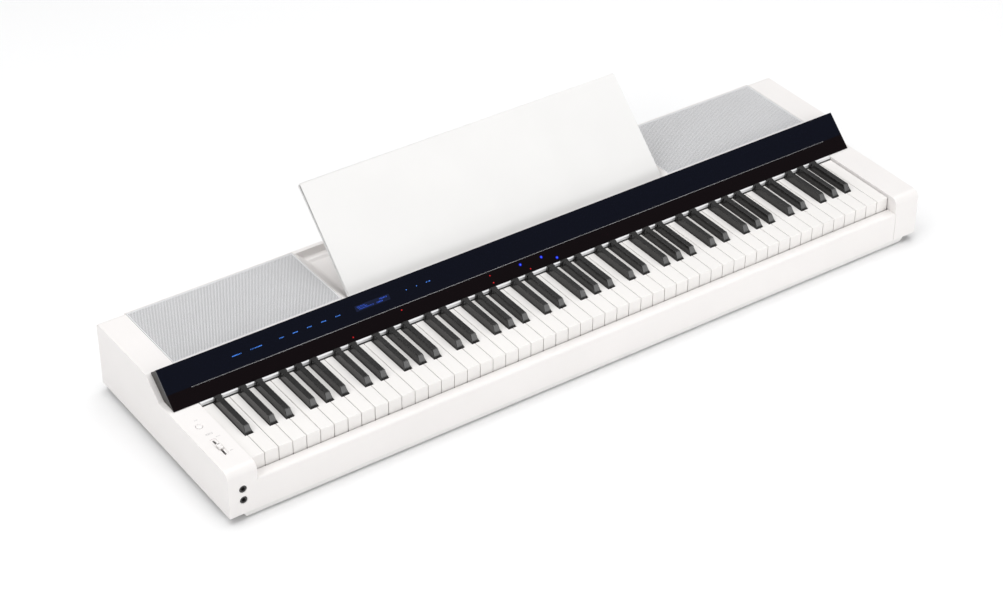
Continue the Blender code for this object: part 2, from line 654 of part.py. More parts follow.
clear_scene()
materials = {name: make_material(name) for name in FINISHES}
case_origin = make_case_origin()
make_left_end_block()
make_end_block("right_end_block", 1)
make_bottom_board()
make_front_rail()
make_rear_panel()
make_top_cover()
make_grilles_and_speakers()
make_panel()
make_key_strip()
make_keys()
make_key_chassis()
make_hammer_bank()
make_circuit_boards()
make_power_button()
make_volume_slider()
make_headphone_jacks()
make_rear_sockets()
make_music_rest()
make_rest_stays()
shade_round_pieces()
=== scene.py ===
import math

import bmesh
import bpy
import numpy as np
from mathutils import Matrix, Vector


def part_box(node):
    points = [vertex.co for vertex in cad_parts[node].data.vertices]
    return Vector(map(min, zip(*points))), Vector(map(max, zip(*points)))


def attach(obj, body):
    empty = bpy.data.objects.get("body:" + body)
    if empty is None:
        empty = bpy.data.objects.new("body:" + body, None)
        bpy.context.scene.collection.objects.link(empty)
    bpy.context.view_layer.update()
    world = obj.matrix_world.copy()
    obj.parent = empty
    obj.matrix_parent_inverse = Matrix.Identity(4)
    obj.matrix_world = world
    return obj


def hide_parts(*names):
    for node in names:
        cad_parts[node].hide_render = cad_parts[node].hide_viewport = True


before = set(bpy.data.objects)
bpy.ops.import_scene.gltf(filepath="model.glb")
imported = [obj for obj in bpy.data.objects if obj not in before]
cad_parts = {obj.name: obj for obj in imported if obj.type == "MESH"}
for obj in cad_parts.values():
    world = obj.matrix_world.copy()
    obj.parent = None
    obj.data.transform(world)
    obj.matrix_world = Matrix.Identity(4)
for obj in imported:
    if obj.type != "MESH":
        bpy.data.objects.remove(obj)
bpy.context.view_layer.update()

# ---------------------------------------------------------------- sizes read from the frame
# Outlines are given in case measure: x to the player's right, y back from the front face of the
# end blocks, z up from a level 2 mm above the underside of the case walls.
BLOCK_LOW, BLOCK_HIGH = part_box("right_end_block")
DECK_Z = 0.111
FRONT = BLOCK_LOW[1]
LEVEL = BLOCK_HIGH[2] - DECK_Z
DEPTH = BLOCK_HIGH[1] - BLOCK_LOW[1]
UNDERSIDE = BLOCK_LOW[2] - LEVEL
CASE_HALF = BLOCK_HIGH[0]
BLOCK_INNER = BLOCK_LOW[0]
FIT = 0.0003
WALL = 0.003


def case_box(node):
    """A node's box in case measure, as two vectors."""
    low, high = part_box(node)
    shift = Vector((0.0, FRONT, LEVEL))
    return Vector(low) - shift, Vector(high) - shift


BLOCK_TOP = 0.080
SLOPE_FOOT, SLOPE_HEAD = 0.203, 0.240
RAIL_LOW, RAIL_HIGH = case_box("front_rail")
PANEL_LOW, PANEL_HIGH = case_box("panel_glass")
PANEL_FOOT = (PANEL_LOW.y, PANEL_LOW.z)
PANEL_HEAD = (0.221, PANEL_HIGH.z)
PANEL_HALF = PANEL_HIGH.x
PANEL_LEAN = math.atan2(PANEL_HEAD[1] - PANEL_FOOT[1], PANEL_HEAD[0] - PANEL_FOOT[0])
PANEL_LENGTH = math.hypot(PANEL_HEAD[1] - PANEL_FOOT[1], PANEL_HEAD[0] - PANEL_FOOT[0])
GLASS_THICK = 0.003
TRIM_AT = 0.026
TRIM_HALF = case_box("panel_trim_line")[1].x

KEYS_LOW, KEYS_HIGH = case_box("white_keys_c_e_g_b_1")
WHITE_COUNT = 52
WHITE_PITCH = (KEYS_HIGH.x - KEYS_LOW.x + 0.001) / 7
KEY_GAP = 0.001
KEY_FRONT = KEYS_LOW.y
KEY_TOP = KEYS_HIGH.z
KEY_UNDER = KEY_TOP - 0.015
SKIRT_BOTTOM = KEYS_LOW.z
BLACK_LOW, BLACK_HIGH = case_box("black_keys_1")
BLACK_FRONT = BLACK_LOW.y
BLACK_TOP = BLACK_HIGH.z
BLACK_WIDTH = 0.013
BLACK_CLEAR = 0.0008
KEY_SHOWN = 0.1655
TAIL_TOP = KEY_TOP - 0.005
TAIL_END = 0.244
COMB_FRONT, COMB_REAR = 0.247, KEYS_HIGH.y
COMB_THICK = 0.004
COMB_LEVELS = (SKIRT_BOTTOM, SKIRT_BOTTOM + 0.006, SKIRT_BOTTOM + 0.012)

REST_LOW, REST_HIGH = case_box("music_rest")
REST_LEAN = math.radians(43.2)
REST_THICK = 0.006
REST_EDGE = 0.0005         # the rest's softened corners stop this short of its true ones
REST_RISE = REST_HIGH.z - REST_LOW.z + 2 * REST_EDGE - REST_THICK * math.cos(REST_LEAN)
REST_LENGTH = REST_RISE / math.sin(REST_LEAN)
REST_FOOT = (REST_LOW.y - REST_EDGE, REST_LOW.z - REST_EDGE + REST_THICK * math.cos(REST_LEAN))
STAY_X, STAY_ALONG, STAY_DEPTH = 0.150, 0.118, 0.010
STAY_FOOT = (0.322, 0.0975)

WELL_HALF, WELL_FLOOR_HALF, WELL_FLOOR = 0.3186, 0.300, 0.094
WELL_FRONT, WELL_REAR, WELL_LEDGE, WELL_STEP = 0.2415, 0.390, 0.2475, 0.378

BUTTON_LOW, BUTTON_HIGH = case_box("power_button")
BUTTON_X = (BUTTON_LOW.x + BUTTON_HIGH.x) / 2
BUTTON_Y = (BUTTON_LOW.y + BUTTON_HIGH.y) / 2
KNOB_LOW, KNOB_HIGH = case_box("volume_slider")
KNOB_X = (KNOB_LOW.x + KNOB_HIGH.x) / 2
KNOB_Y = (KNOB_LOW.y + KNOB_HIGH.y) / 2
SLOT_ENDS = (0.0435, 0.0825)
JACK_LOW, JACK_HIGH = case_box("headphone_jack_block")
JACK_X = (JACK_LOW.x + JACK_HIGH.x) / 2
JACK_HEIGHTS = (0.0435, 0.0235)
SOCKET_LOW, SOCKET_HIGH = case_box("rear_socket_block")
SOCKET_Z = (SOCKET_LOW.z + SOCKET_HIGH.z) / 2


# ---------------------------------------------------------------- materials
def new_material(name, colour, roughness, metallic=0.0, **sockets):
    """A Principled material with its object coordinates ready: (material, tree, shader, coordinates)."""
    material = bpy.data.materials.new(name)
    material.use_nodes = True
    tree = material.node_tree
    shader = tree.nodes["Principled BSDF"]
    shader.inputs["Base Color"].default_value = (*colour, 1.0)
    shader.inputs["Roughness"].default_value = roughness
    shader.inputs["Metallic"].default_value = metallic
    for socket, value in sockets.items():
        shader.inputs[socket.replace("_", " ")].default_value = value
    coords = tree.nodes.new("ShaderNodeTexCoord").outputs["Object"]
    return material, tree, shader, coords


def stretched(tree, coords, scale):
    mapping = tree.nodes.new("ShaderNodeMapping")
    mapping.inputs["Scale"].default_value = scale
    tree.links.new(coords, mapping.inputs["Vector"])
    return mapping.outputs["Vector"]


def noise(tree, coords, scale, detail=3.0):
    node = tree.nodes.new("ShaderNodeTexNoise")
    node.inputs["Scale"].default_value = scale
    node.inputs["Detail"].default_value = detail
    tree.links.new(coords, node.inputs["Vector"])
    return node.outputs["Fac"]


def spread(tree, value, low, high, target, start=0.3, end=0.7):
    """Spread a 0 to 1 pattern over a range of the target socket."""
    node = tree.nodes.new("ShaderNodeMapRange")
    node.inputs["From Min"].default_value = start
    node.inputs["From Max"].default_value = end
    node.inputs["To Min"].default_value = low
    node.inputs["To Max"].default_value = high
    tree.links.new(value, node.inputs["Value"])
    tree.links.new(node.outputs["Result"], target)


def two_tone(tree, value, low_colour, high_colour, target, start=0.3, end=0.7):
    node = tree.nodes.new("ShaderNodeValToRGB")
    node.color_ramp.elements[0].position = start
    node.color_ramp.elements[0].color = (*low_colour, 1.0)
    node.color_ramp.elements[1].position = end
    node.color_ramp.elements[1].color = (*high_colour, 1.0)
    tree.links.new(value, node.inputs["Fac"])
    tree.links.new(node.outputs["Color"], target)


def rough_surface(tree, shader, height, strength, distance):
    node = tree.nodes.new("ShaderNodeBump")
    node.inputs["Strength"].default_value = strength
    node.inputs["Distance"].default_value = distance
    tree.links.new(height, node.inputs["Height"])
    tree.links.new(node.outputs["Normal"], shader.inputs["Normal"])


def tinted(colour, change):
    return tuple(min(1.0, part * change) for part in colour)


def moulded(name, colour, roughness, grain=900.0, relief=0.00003, shade=0.02, **sockets):
    """Moulded plastic: faint mottling, a fine spark-eroded grain and uneven gloss."""
    material, tree, shader, coords = new_material(name, colour, roughness, **sockets)
    two_tone(tree, noise(tree, coords, 9.0), tinted(colour, 1 - shade), tinted(colour, 1 + shade * 0.4),
             shader.inputs["Base Color"])
    spread(tree, noise(tree, coords, 40.0), roughness * 0.92, roughness * 1.1, shader.inputs["Roughness"])
    rough_surface(tree, shader, noise(tree, coords, grain, 2.0), 0.35, relief)
    return material


def glossy_panel():
    """Smoked cover, navy over the touch field and plain black below the silver line."""
    material, tree, shader, coords = new_material("panel_smoked_gloss", (0.003, 0.003, 0.006), 0.06, IOR=1.48)
    along = tree.nodes.new("ShaderNodeVectorMath")
    along.operation = "DOT_PRODUCT"
    along.inputs[1].default_value = (0.0, math.cos(PANEL_LEAN), math.sin(PANEL_LEAN))
    tree.links.new(coords, along.inputs[0])
    base = ((FRONT + PANEL_FOOT[0]) * math.cos(PANEL_LEAN) + (LEVEL + PANEL_FOOT[1]) * math.sin(PANEL_LEAN))
    height = tree.nodes.new("ShaderNodeMapRange")
    height.inputs["From Min"].default_value = base
    height.inputs["From Max"].default_value = base + PANEL_LENGTH
    tree.links.new(along.outputs["Value"], height.inputs["Value"])
    split = TRIM_AT / PANEL_LENGTH
    two_tone(tree, height.outputs["Result"], (0.0030, 0.0008, 0.0015), (0.0020, 0.0028, 0.0080),
             shader.inputs["Base Color"], split, split + 0.01)
    spread(tree, noise(tree, coords, 18.0), 0.045, 0.075, shader.inputs["Roughness"])
    return material


def brushed(name, colour, roughness, scale):
    """Metal brushed along one way; scale is short along the strokes."""
    material, tree, shader, coords = new_material(name, colour, roughness, 1.0)
    strokes = noise(tree, stretched(tree, coords, scale), 1.0, 4.0)
    two_tone(tree, strokes, tinted(colour, 0.85), tinted(colour, 1.1), shader.inputs["Base Color"])
    spread(tree, strokes, roughness * 0.8, roughness * 1.25, shader.inputs["Roughness"])
    rough_surface(tree, shader, strokes, 0.2, 0.00002)
    return material


def felted(name, colour):
    material, tree, shader, coords = new_material(name, colour, 0.95, Sheen_Weight=0.6, Sheen_Roughness=0.5)
    fibres = noise(tree, coords, 1500.0, 5.0)
    two_tone(tree, fibres, tinted(colour, 0.6), tinted(colour, 1.3), shader.inputs["Base Color"])
    rough_surface(tree, shader, fibres, 0.8, 0.0003)
    return material


def circuit(name):
    """Solder resist over copper tracks laid out on a grid."""
    material, tree, shader, coords = new_material(name, (0.02, 0.13, 0.05), 0.35, Coat_Weight=0.3)
    tracks = tree.nodes.new("ShaderNodeTexBrick")
    tracks.inputs["Scale"].default_value = 160.0
    tracks.inputs["Mortar Size"].default_value = 0.06
    tracks.inputs["Color1"].default_value = (0.015, 0.10, 0.04, 1.0)
    tracks.inputs["Color2"].default_value = (0.02, 0.13, 0.05, 1.0)
    tracks.inputs["Mortar"].default_value = (0.06, 0.24, 0.09, 1.0)
    tree.links.new(coords, tracks.inputs["Vector"])
    tree.links.new(tracks.outputs["Color"], shader.inputs["Base Color"])
    rough_surface(tree, shader, tracks.outputs["Fac"], 0.3, 0.00005)
    return material


def glowing(name, colour, strength):
    """A lit mark behind the smoked cover, a little brighter in places."""
    material, tree, shader, coords = new_material(name, tinted(colour, 0.3), 0.3)
    shader.inputs["Emission Strength"].default_value = strength
    two_tone(tree, noise(tree, coords, 600.0), tinted(colour, 0.75), colour, shader.inputs["Emission Color"])
    return material


def speaker_paper(name):
    material, tree, shader, coords = new_material(name, (0.035, 0.035, 0.038), 0.8)
    pulp = noise(tree, coords, 700.0, 6.0)
    two_tone(tree, pulp, (0.02, 0.02, 0.022), (0.06, 0.06, 0.064), shader.inputs["Base Color"])
    rough_surface(tree, shader, pulp, 0.6, 0.0002)
    return material


def painted_board(name):
    """Fibreboard under white paint, with the slight pull of a roller."""
    colour = (0.80, 0.79, 0.775)
    material, tree, shader, coords = new_material(name, colour, 0.55)
    two_tone(tree, noise(tree, coords, 30.0), tinted(colour, 0.95), colour, shader.inputs["Base Color"])
    spread(tree, noise(tree, coords, 25.0), 0.5, 0.62, shader.inputs["Roughness"])
    rough_surface(tree, shader, noise(tree, coords, 350.0, 4.0), 0.5, 0.0001)
    return material


def floor_finish():
    colour = (0.93, 0.93, 0.93)
    material, tree, shader, coords = new_material("studio_floor", colour, 0.9, Specular_IOR_Level=0.1)
    two_tone(tree, noise(tree, coords, 2.0), tinted(colour, 0.995), colour, shader.inputs["Base Color"])
    return material


BODY = moulded("case_warm_white", (0.840, 0.815, 0.800), 0.42)
REST_FINISH = moulded("rest_white", (0.800, 0.792, 0.780), 0.46, grain=700.0)
WHITE_KEY = moulded("white_key_plastic", (0.845, 0.825, 0.805), 0.24, grain=500.0, relief=0.00001,
                    IOR=1.49)
BLACK_KEY = moulded("black_key_satin", (0.010, 0.0096, 0.0092), 0.24, grain=1400.0, relief=0.00001,
                    shade=0.04, IOR=1.6)
CLOTH = felted("speaker_cloth", (0.03, 0.03, 0.032))
DARK = moulded("dark_textured_plastic", (0.035, 0.034, 0.034), 0.48, grain=1300.0, relief=0.00006,
               shade=0.15)
PANEL_END = moulded("panel_housing_grey", (0.030, 0.026, 0.024), 0.42, grain=1200.0, relief=0.00005,
                    shade=0.1)
STRIP = moulded("strip_pale_grey", (0.82, 0.82, 0.83), 0.5, grain=800.0)
RUBBER = moulded("foot_rubber", (0.03, 0.03, 0.03), 0.85, grain=1600.0, relief=0.0001, shade=0.3)
GRILLE = moulded("grille_powder_coat", (0.80, 0.80, 0.81), 0.5, grain=2500.0, relief=0.00004)
PRINT = moulded("printed_grey", (0.45, 0.44, 0.44), 0.6, grain=3000.0)
PANEL = glossy_panel()
SILVER = brushed("trim_brushed_silver", (0.42, 0.42, 0.43), 0.30, (8.0, 2500.0, 2500.0))
STEEL = brushed("zinc_plated_steel", (0.52, 0.52, 0.53), 0.34, (60.0, 900.0, 900.0))
NICKEL = brushed("contact_nickel", (0.68, 0.66, 0.62), 0.22, (900.0, 60.0, 900.0))
FELT = felted("red_felt", (0.35, 0.04, 0.04))
# The black for the strip's foot edge is painted shade: it stands in for the shadow in the gap between the
# strip and the key tails.
SHADOW_GAP_BLACK = felted("painted_shadow_gap_black", (0.012, 0.011, 0.011))
CIRCUIT = circuit("circuit_board_green")
CONE = speaker_paper("speaker_pulp")
BOARD = painted_board("painted_fibreboard")
DISPLAY = moulded("display_window", (0.008, 0.012, 0.035), 0.1, grain=200.0, relief=0.000002)
LIT_BLUE = glowing("lit_blue", (0.06, 0.20, 1.0), 1.3)
LIT_DEEP = glowing("lit_deep_blue", (0.002, 0.012, 0.80), 0.8)
LIT_ROWS = glowing("lit_display_rows", (0.02, 0.08, 0.55), 0.8)
LIT_PALE = glowing("lit_pale_blue", (0.06, 0.24, 0.85), 0.9)
LIT_RED = glowing("lit_red", (0.60, 0.002, 0.006), 0.9)


# ---------------------------------------------------------------- mesh tools
def prism(outline, low, high):
    """An outline of (y, z) points, carried along x as a closed solid."""
    data = bmesh.new()
    face = data.faces.new([data.verts.new((low, y, z)) for y, z in outline])
    moved = bmesh.ops.extrude_face_region(data, geom=[face])["geom"]
    verts = [item for item in moved if isinstance(item, bmesh.types.BMVert)]
    bmesh.ops.translate(data, verts=verts, vec=(high - low, 0.0, 0.0))
    bmesh.ops.recalc_face_normals(data, faces=data.faces)
    return data


def slab(outline, low, high):
    """An outline of (x, y) points, carried up from low to high."""
    data = prism(outline, low, high)
    for vert in data.verts:
        vert.co = Vector((vert.co.y, vert.co.z, vert.co.x))
    return data


def box(low, high):
    outline = [(low[1], low[2]), (high[1], low[2]), (high[1], high[2]), (low[1], high[2])]
    return prism(outline, low[0], high[0])


def rounded(corners, steps=6):
    """A polygon of (across, up, radius) corners with each corner rounded to its radius."""
    points = []
    count = len(corners)
    for index, (across, up, radius) in enumerate(corners):
        here = Vector((across, up))
        if radius == 0.0:
            points.append((across, up))
            continue
        back = (Vector(corners[index - 1][:2]) - here).normalized()
        on = (Vector(corners[(index + 1) % count][:2]) - here).normalized()
        half = back.angle(on) / 2
        centre = here + (back + on).normalized() * (radius / math.sin(half))
        first = here + back * (radius / math.tan(half)) - centre
        last = here + on * (radius / math.tan(half)) - centre
        start = math.atan2(first.y, first.x)
        turn = (math.atan2(last.y, last.x) - start + math.pi) % math.tau - math.pi
        for step in range(steps + 1):
            angle = start + turn * step / steps
            points.append((centre.x + radius * math.cos(angle), centre.y + radius * math.sin(angle)))
    return points


def rounded_rectangle(low, high, radius, steps=5):
    return rounded([(low[0], low[1], radius), (high[0], low[1], radius), (high[0], high[1], radius),
                    (low[0], high[1], radius)], steps)


def turned(profile, centre, axis=(0.0, 0.0, 1.0), steps=48):
    """A (radius, height) profile, from the axis round to the axis, turned into a closed solid."""
    data = bmesh.new()
    rings = []
    for radius, height in profile:
        if radius == 0.0:
            rings.append([data.verts.new((0.0, 0.0, height))])
            continue
        angles = [math.tau * step / steps for step in range(steps)]
        rings.append([data.verts.new((radius * math.cos(a), radius * math.sin(a), height)) for a in angles])
    for low, high in zip(rings, rings[1:]):
        for step in range(steps):
            after = (step + 1) % steps
            ring = [low[step % len(low)], low[after % len(low)],
                    high[after % len(high)], high[step % len(high)]]
            data.faces.new(list(dict.fromkeys(ring)))
    for ring in (rings[0], rings[-1]):
        if len(ring) > 1:
            data.faces.new(ring)
    turn = Vector((0.0, 0.0, 1.0)).rotation_difference(Vector(axis)).to_matrix()
    bmesh.ops.rotate(data, verts=data.verts, cent=(0.0, 0.0, 0.0), matrix=turn)
    bmesh.ops.translate(data, verts=data.verts, vec=centre)
    bmesh.ops.recalc_face_normals(data, faces=data.faces)
    return data


def blocks_solid(blocks):
    """The one solid that a list of (low corner, high corner) blocks fills together."""
    lines = [sorted({round(corner[axis], 7) for block in blocks for corner in block}) for axis in range(3)]
    filled = np.zeros([len(line) + 1 for line in lines], dtype=bool)
    for low, high in blocks:
        span = [slice(lines[a].index(round(low[a], 7)) + 1, lines[a].index(round(high[a], 7)) + 1)
                for a in range(3)]
        filled[tuple(span)] = True
    data = bmesh.new()
    corners = {}
    for axis in range(3):
        first, second = (axis + 1) % 3, (axis + 2) % 3
        step = np.diff(filled.astype(int), axis=axis)
        for cell in zip(*np.nonzero(step)):
            loop = []
            for up, across in ((0, 0), (1, 0), (1, 1), (0, 1)):
                index = [0, 0, 0]
                index[axis] = cell[axis]
                index[first] = cell[first] - 1 + up
                index[second] = cell[second] - 1 + across
                key = tuple(index)
                if key not in corners:
                    corners[key] = data.verts.new([lines[a][key[a]] for a in range(3)])
                loop.append(corners[key])
            data.faces.new(loop if step[cell] < 0 else loop[::-1])
    bmesh.ops.dissolve_limit(data, angle_limit=0.01, verts=data.verts, edges=data.edges)
    bmesh.ops.recalc_face_normals(data, faces=data.faces)
    return data


def round_edges(data, chosen, width, segments=3):
    edges = [edge for edge in data.edges if len(edge.link_faces) == 2 and chosen(edge)]
    bmesh.ops.bevel(data, geom=edges, offset=width, offset_type="OFFSET", segments=segments, profile=0.5,
                    affect="EDGES", clamp_overlap=True)
    return data


def sharp(edge, limit=math.radians(40)):
    return edge.calc_face_angle(0.0) > limit


def rim_at(axis, place, reach=1e-5):
    """A test for sharp edges that lie whole at one place along an axis."""
    return lambda edge: sharp(edge) and all(abs(v.co[axis] - place) < reach for v in edge.verts)


def level_along(axis):
    """A test for sharp edges that don't change place along an axis."""
    return lambda edge: sharp(edge) and abs(edge.verts[0].co[axis] - edge.verts[1].co[axis]) < 1e-6


def joined(parts):
    """Several solids gathered in one mesh."""
    data = bmesh.new()
    for part in parts:
        mesh = bpy.data.meshes.new("gathered")
        part.to_mesh(mesh)
        part.free()
        data.from_mesh(mesh)
        bpy.data.meshes.remove(mesh)
    return data


def scratch_object(name, data):
    """A bare object from a bmesh in case measure."""
    mesh = bpy.data.meshes.new(name)
    data.to_mesh(mesh)
    data.free()
    obj = bpy.data.objects.new(name, mesh)
    bpy.context.scene.collection.objects.link(obj)
    return obj


def flatten_modifiers(obj):
    """Swap the object's mesh for the one that its modifiers give, and drop the modifiers."""
    depsgraph = bpy.context.evaluated_depsgraph_get()
    mesh = bpy.data.meshes.new_from_object(obj.evaluated_get(depsgraph), depsgraph=depsgraph)
    obj.modifiers.clear()
    obj.data = mesh
    return obj


def carved(data, tools, operation="DIFFERENCE"):
    """Cut the tools out of a solid, or join them on, and return the result as a bmesh."""
    obj = scratch_object("carved", data)
    helpers = [scratch_object("tool", tool) for tool in tools]
    for helper in helpers:
        modifier = obj.modifiers.new("carve", "BOOLEAN")
        modifier.operation = operation
        modifier.solver = "EXACT"
        modifier.object = helper
    flatten_modifiers(obj)
    result = bmesh.new()
    result.from_mesh(obj.data)
    for old in [obj, *helpers]:
        bpy.data.objects.remove(old, do_unlink=True)
    return result


def piece(name, data, material, body="case", replaced=(), smooth=35.0):
    """Put a finished solid on a body, in the frame, with its shading and what it stands for."""
    bmesh.ops.translate(data, verts=data.verts, vec=(0.0, FRONT, LEVEL))
    obj = scratch_object(name, data)
    obj.data.shade_smooth()
    obj.data.set_sharp_from_angle(angle=math.radians(smooth))
    even = obj.modifiers.new("even_shading", "WEIGHTED_NORMAL")
    even.keep_sharp = True
    flatten_modifiers(obj)
    obj.data.name = name
    obj.data.materials.clear()
    obj.data.materials.append(material)
    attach(obj, body)
    if replaced:
        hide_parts(*replaced)
    return obj


def sloped(foot, lean):
    """A function from (distance up a slope, depth behind its face) to (y, z)."""
    along = (math.cos(lean), math.sin(lean))
    behind = (math.sin(lean), -math.cos(lean))
    return lambda s, d: (foot[0] + s * along[0] + d * behind[0], foot[1] + s * along[1] + d * behind[1])


# ---------------------------------------------------------------- geometry-node tools
SOCKET_TYPES = {float: "NodeSocketFloat", int: "NodeSocketInt", tuple: "NodeSocketVector",
                bpy.types.Object: "NodeSocketObject", bpy.types.Material: "NodeSocketMaterial"}


def new_tree(name, **inputs):
    """An empty tree with a geometry input and output and one named input for each value's kind."""
    tree = bpy.data.node_groups.new(name, "GeometryNodeTree")
    tree.interface.new_socket("Geometry", in_out="INPUT", socket_type="NodeSocketGeometry")
    for label, kind in inputs.items():
        tree.interface.new_socket(label, in_out="INPUT", socket_type=SOCKET_TYPES[kind])
    tree.interface.new_socket("Geometry", in_out="OUTPUT", socket_type="NodeSocketGeometry")
    return tree, tree.nodes.new("NodeGroupInput"), tree.nodes.new("NodeGroupOutput")


def link(tree, *rows):
    """Wire (node, output, node, input) rows."""
    for source, out, target, into in rows:
        tree.links.new(source.outputs[out], target.inputs[into])


def end_tree(tree, group, output, instances, merge=None):
    """Every tree ends the same way: real mesh, then its material."""
    real = tree.nodes.new("GeometryNodeRealizeInstances")
    finish = tree.nodes.new("GeometryNodeSetMaterial")
    link(tree, (instances, "Instances", real, "Geometry"))
    if merge:
        weld = tree.nodes.new("GeometryNodeMergeByDistance")
        weld.inputs["Distance"].default_value = merge
        link(tree, (real, "Geometry", weld, "Geometry"))
        real = weld
    link(tree, (real, "Geometry", finish, "Geometry"), (group, "Material", finish, "Material"),
         (finish, "Geometry", output, "Geometry"))


def sheet_tree():
    """A six-sided pierced cell repeated over a sheet, every other row half a cell across."""
    tree, group, output = new_tree("pierced_sheet", Width=float, Depth=float, Columns=int, Rows=int,
                                   Shift=tuple, CellSize=tuple, Cell=bpy.types.Object,
                                   Material=bpy.types.Material)
    grid = tree.nodes.new("GeometryNodeMeshGrid")
    between = tree.nodes.new("GeometryNodeTransform")
    both = tree.nodes.new("GeometryNodeJoinGeometry")
    cell = tree.nodes.new("GeometryNodeObjectInfo")
    copies = tree.nodes.new("GeometryNodeInstanceOnPoints")
    link(tree, (group, "Width", grid, "Size X"), (group, "Depth", grid, "Size Y"),
         (group, "Columns", grid, "Vertices X"), (group, "Rows", grid, "Vertices Y"),
         (grid, "Mesh", between, "Geometry"), (group, "Shift", between, "Translation"),
         (grid, "Mesh", both, "Geometry"), (between, "Geometry", both, "Geometry"),
         (group, "Cell", cell, "Object"), (both, "Geometry", copies, "Points"),
         (cell, "Geometry", copies, "Instance"), (group, "CellSize", copies, "Scale"))
    end_tree(tree, group, output, copies, merge=0.00002)
    return tree


def fastener_tree():
    """One screw set on every point of the mesh that carries the tree."""
    tree, group, output = new_tree("fasteners", Turn=tuple, Fastener=bpy.types.Object,
                                   Material=bpy.types.Material)
    screw = tree.nodes.new("GeometryNodeObjectInfo")
    copies = tree.nodes.new("GeometryNodeInstanceOnPoints")
    link(tree, (group, "Geometry", copies, "Points"), (group, "Fastener", screw, "Object"),
         (screw, "Geometry", copies, "Instance"), (group, "Turn", copies, "Rotation"))
    end_tree(tree, group, output, copies)
    return tree


def tick_tree():
    """A row of small bars with uneven widths, for printed and lit legends."""
    tree, group, output = new_tree("tick_row", Count=int, Step=float, Height=float, Seed=int,
                                   Bar=bpy.types.Object, Material=bpy.types.Material)
    line = tree.nodes.new("GeometryNodeMeshLine")
    step = tree.nodes.new("ShaderNodeCombineXYZ")
    bar = tree.nodes.new("GeometryNodeObjectInfo")
    copies = tree.nodes.new("GeometryNodeInstanceOnPoints")
    width = tree.nodes.new("FunctionNodeRandomValue")
    size = tree.nodes.new("ShaderNodeCombineXYZ")
    widest = tree.nodes.new("ShaderNodeMath")
    widest.operation = "MULTIPLY"
    widest.inputs[1].default_value = 0.85
    width.inputs["Min"].default_value = 0.0006
    size.inputs["Z"].default_value = 1.0
    link(tree, (group, "Count", line, "Count"), (group, "Step", step, "X"), (step, "Vector", line, "Offset"),
         (group, "Bar", bar, "Object"), (line, "Mesh", copies, "Points"),
         (bar, "Geometry", copies, "Instance"), (group, "Seed", width, "Seed"),
         (group, "Step", widest, 0), (widest, "Value", width, "Max"), (width, 1, size, "X"),
         (group, "Height", size, "Y"), (size, "Vector", copies, "Scale"))
    end_tree(tree, group, output, copies)
    return tree


def run_tree(tree, carrier, **values):
    """Run a tree on a carrier mesh and give back its result as a bmesh."""
    obj = scratch_object("carrier", carrier)
    modifier = obj.modifiers.new("tree", "NODES")
    modifier.node_group = tree
    for item in tree.interface.items_tree:
        if item.in_out == "INPUT" and item.name in values:
            modifier[item.identifier] = values[item.name]
    flatten_modifiers(obj)
    data = bmesh.new()
    data.from_mesh(obj.data)
    bpy.data.objects.remove(obj, do_unlink=True)
    return data


def points_mesh(places):
    data = bmesh.new()
    for place in places:
        data.verts.new(place)
    return data


# ---------------------------------------------------------------- case
def end_block(side):
    """Moulded end block: large front radius, soft rims, a cheek beside the keys, open underneath."""
    cheek = WHITE_COUNT / 2 * WHITE_PITCH + 0.0008
    low, high = sorted((side * cheek, side * CASE_HALF))
    outline = rounded([(0.0, UNDERSIDE, 0.0008), (0.0, BLOCK_TOP, 0.014), (SLOPE_FOOT, BLOCK_TOP, 0.004),
                       (SLOPE_HEAD, DECK_Z, 0.005), (DEPTH, DECK_Z, 0.008), (DEPTH, UNDERSIDE, 0.0008)], 12)
    data = prism(outline, low, high)
    outer = side * CASE_HALF
    for x, width, segments in ((outer, 0.0040, 6), (side * cheek, 0.0014, 4)):
        round_edges(data, rim_at(0, x), width, segments)
    hollow = rounded([(WALL, UNDERSIDE - 0.01, 0.0), (WALL, BLOCK_TOP - WALL, 0.011),
                      (SLOPE_FOOT + 0.001, BLOCK_TOP - WALL, 0.0), (SLOPE_HEAD + 0.001, DECK_Z - WALL, 0.0),
                      (DEPTH - WALL, DECK_Z - WALL, 0.005), (DEPTH - WALL, UNDERSIDE - 0.01, 0.0)], 6)
    inside = sorted((side * (BLOCK_INNER + WALL), side * (CASE_HALF - WALL)))
    beside = sorted((side * (cheek - 0.01), side * BLOCK_INNER))
    tools = [prism(hollow, *inside),
             box((beside[0], -0.01, -0.01), (beside[1], DEPTH + 0.01, RAIL_HIGH.z + FIT)),
             box((beside[0], 0.2015, -0.01), (beside[1], DEPTH + 0.01, DECK_Z + 0.01))]
    return data, tools


def slot_outline(x, ends, half):
    return rounded_rectangle((x - half, ends[0]), (x + half, ends[1]), half * 0.98, 8)


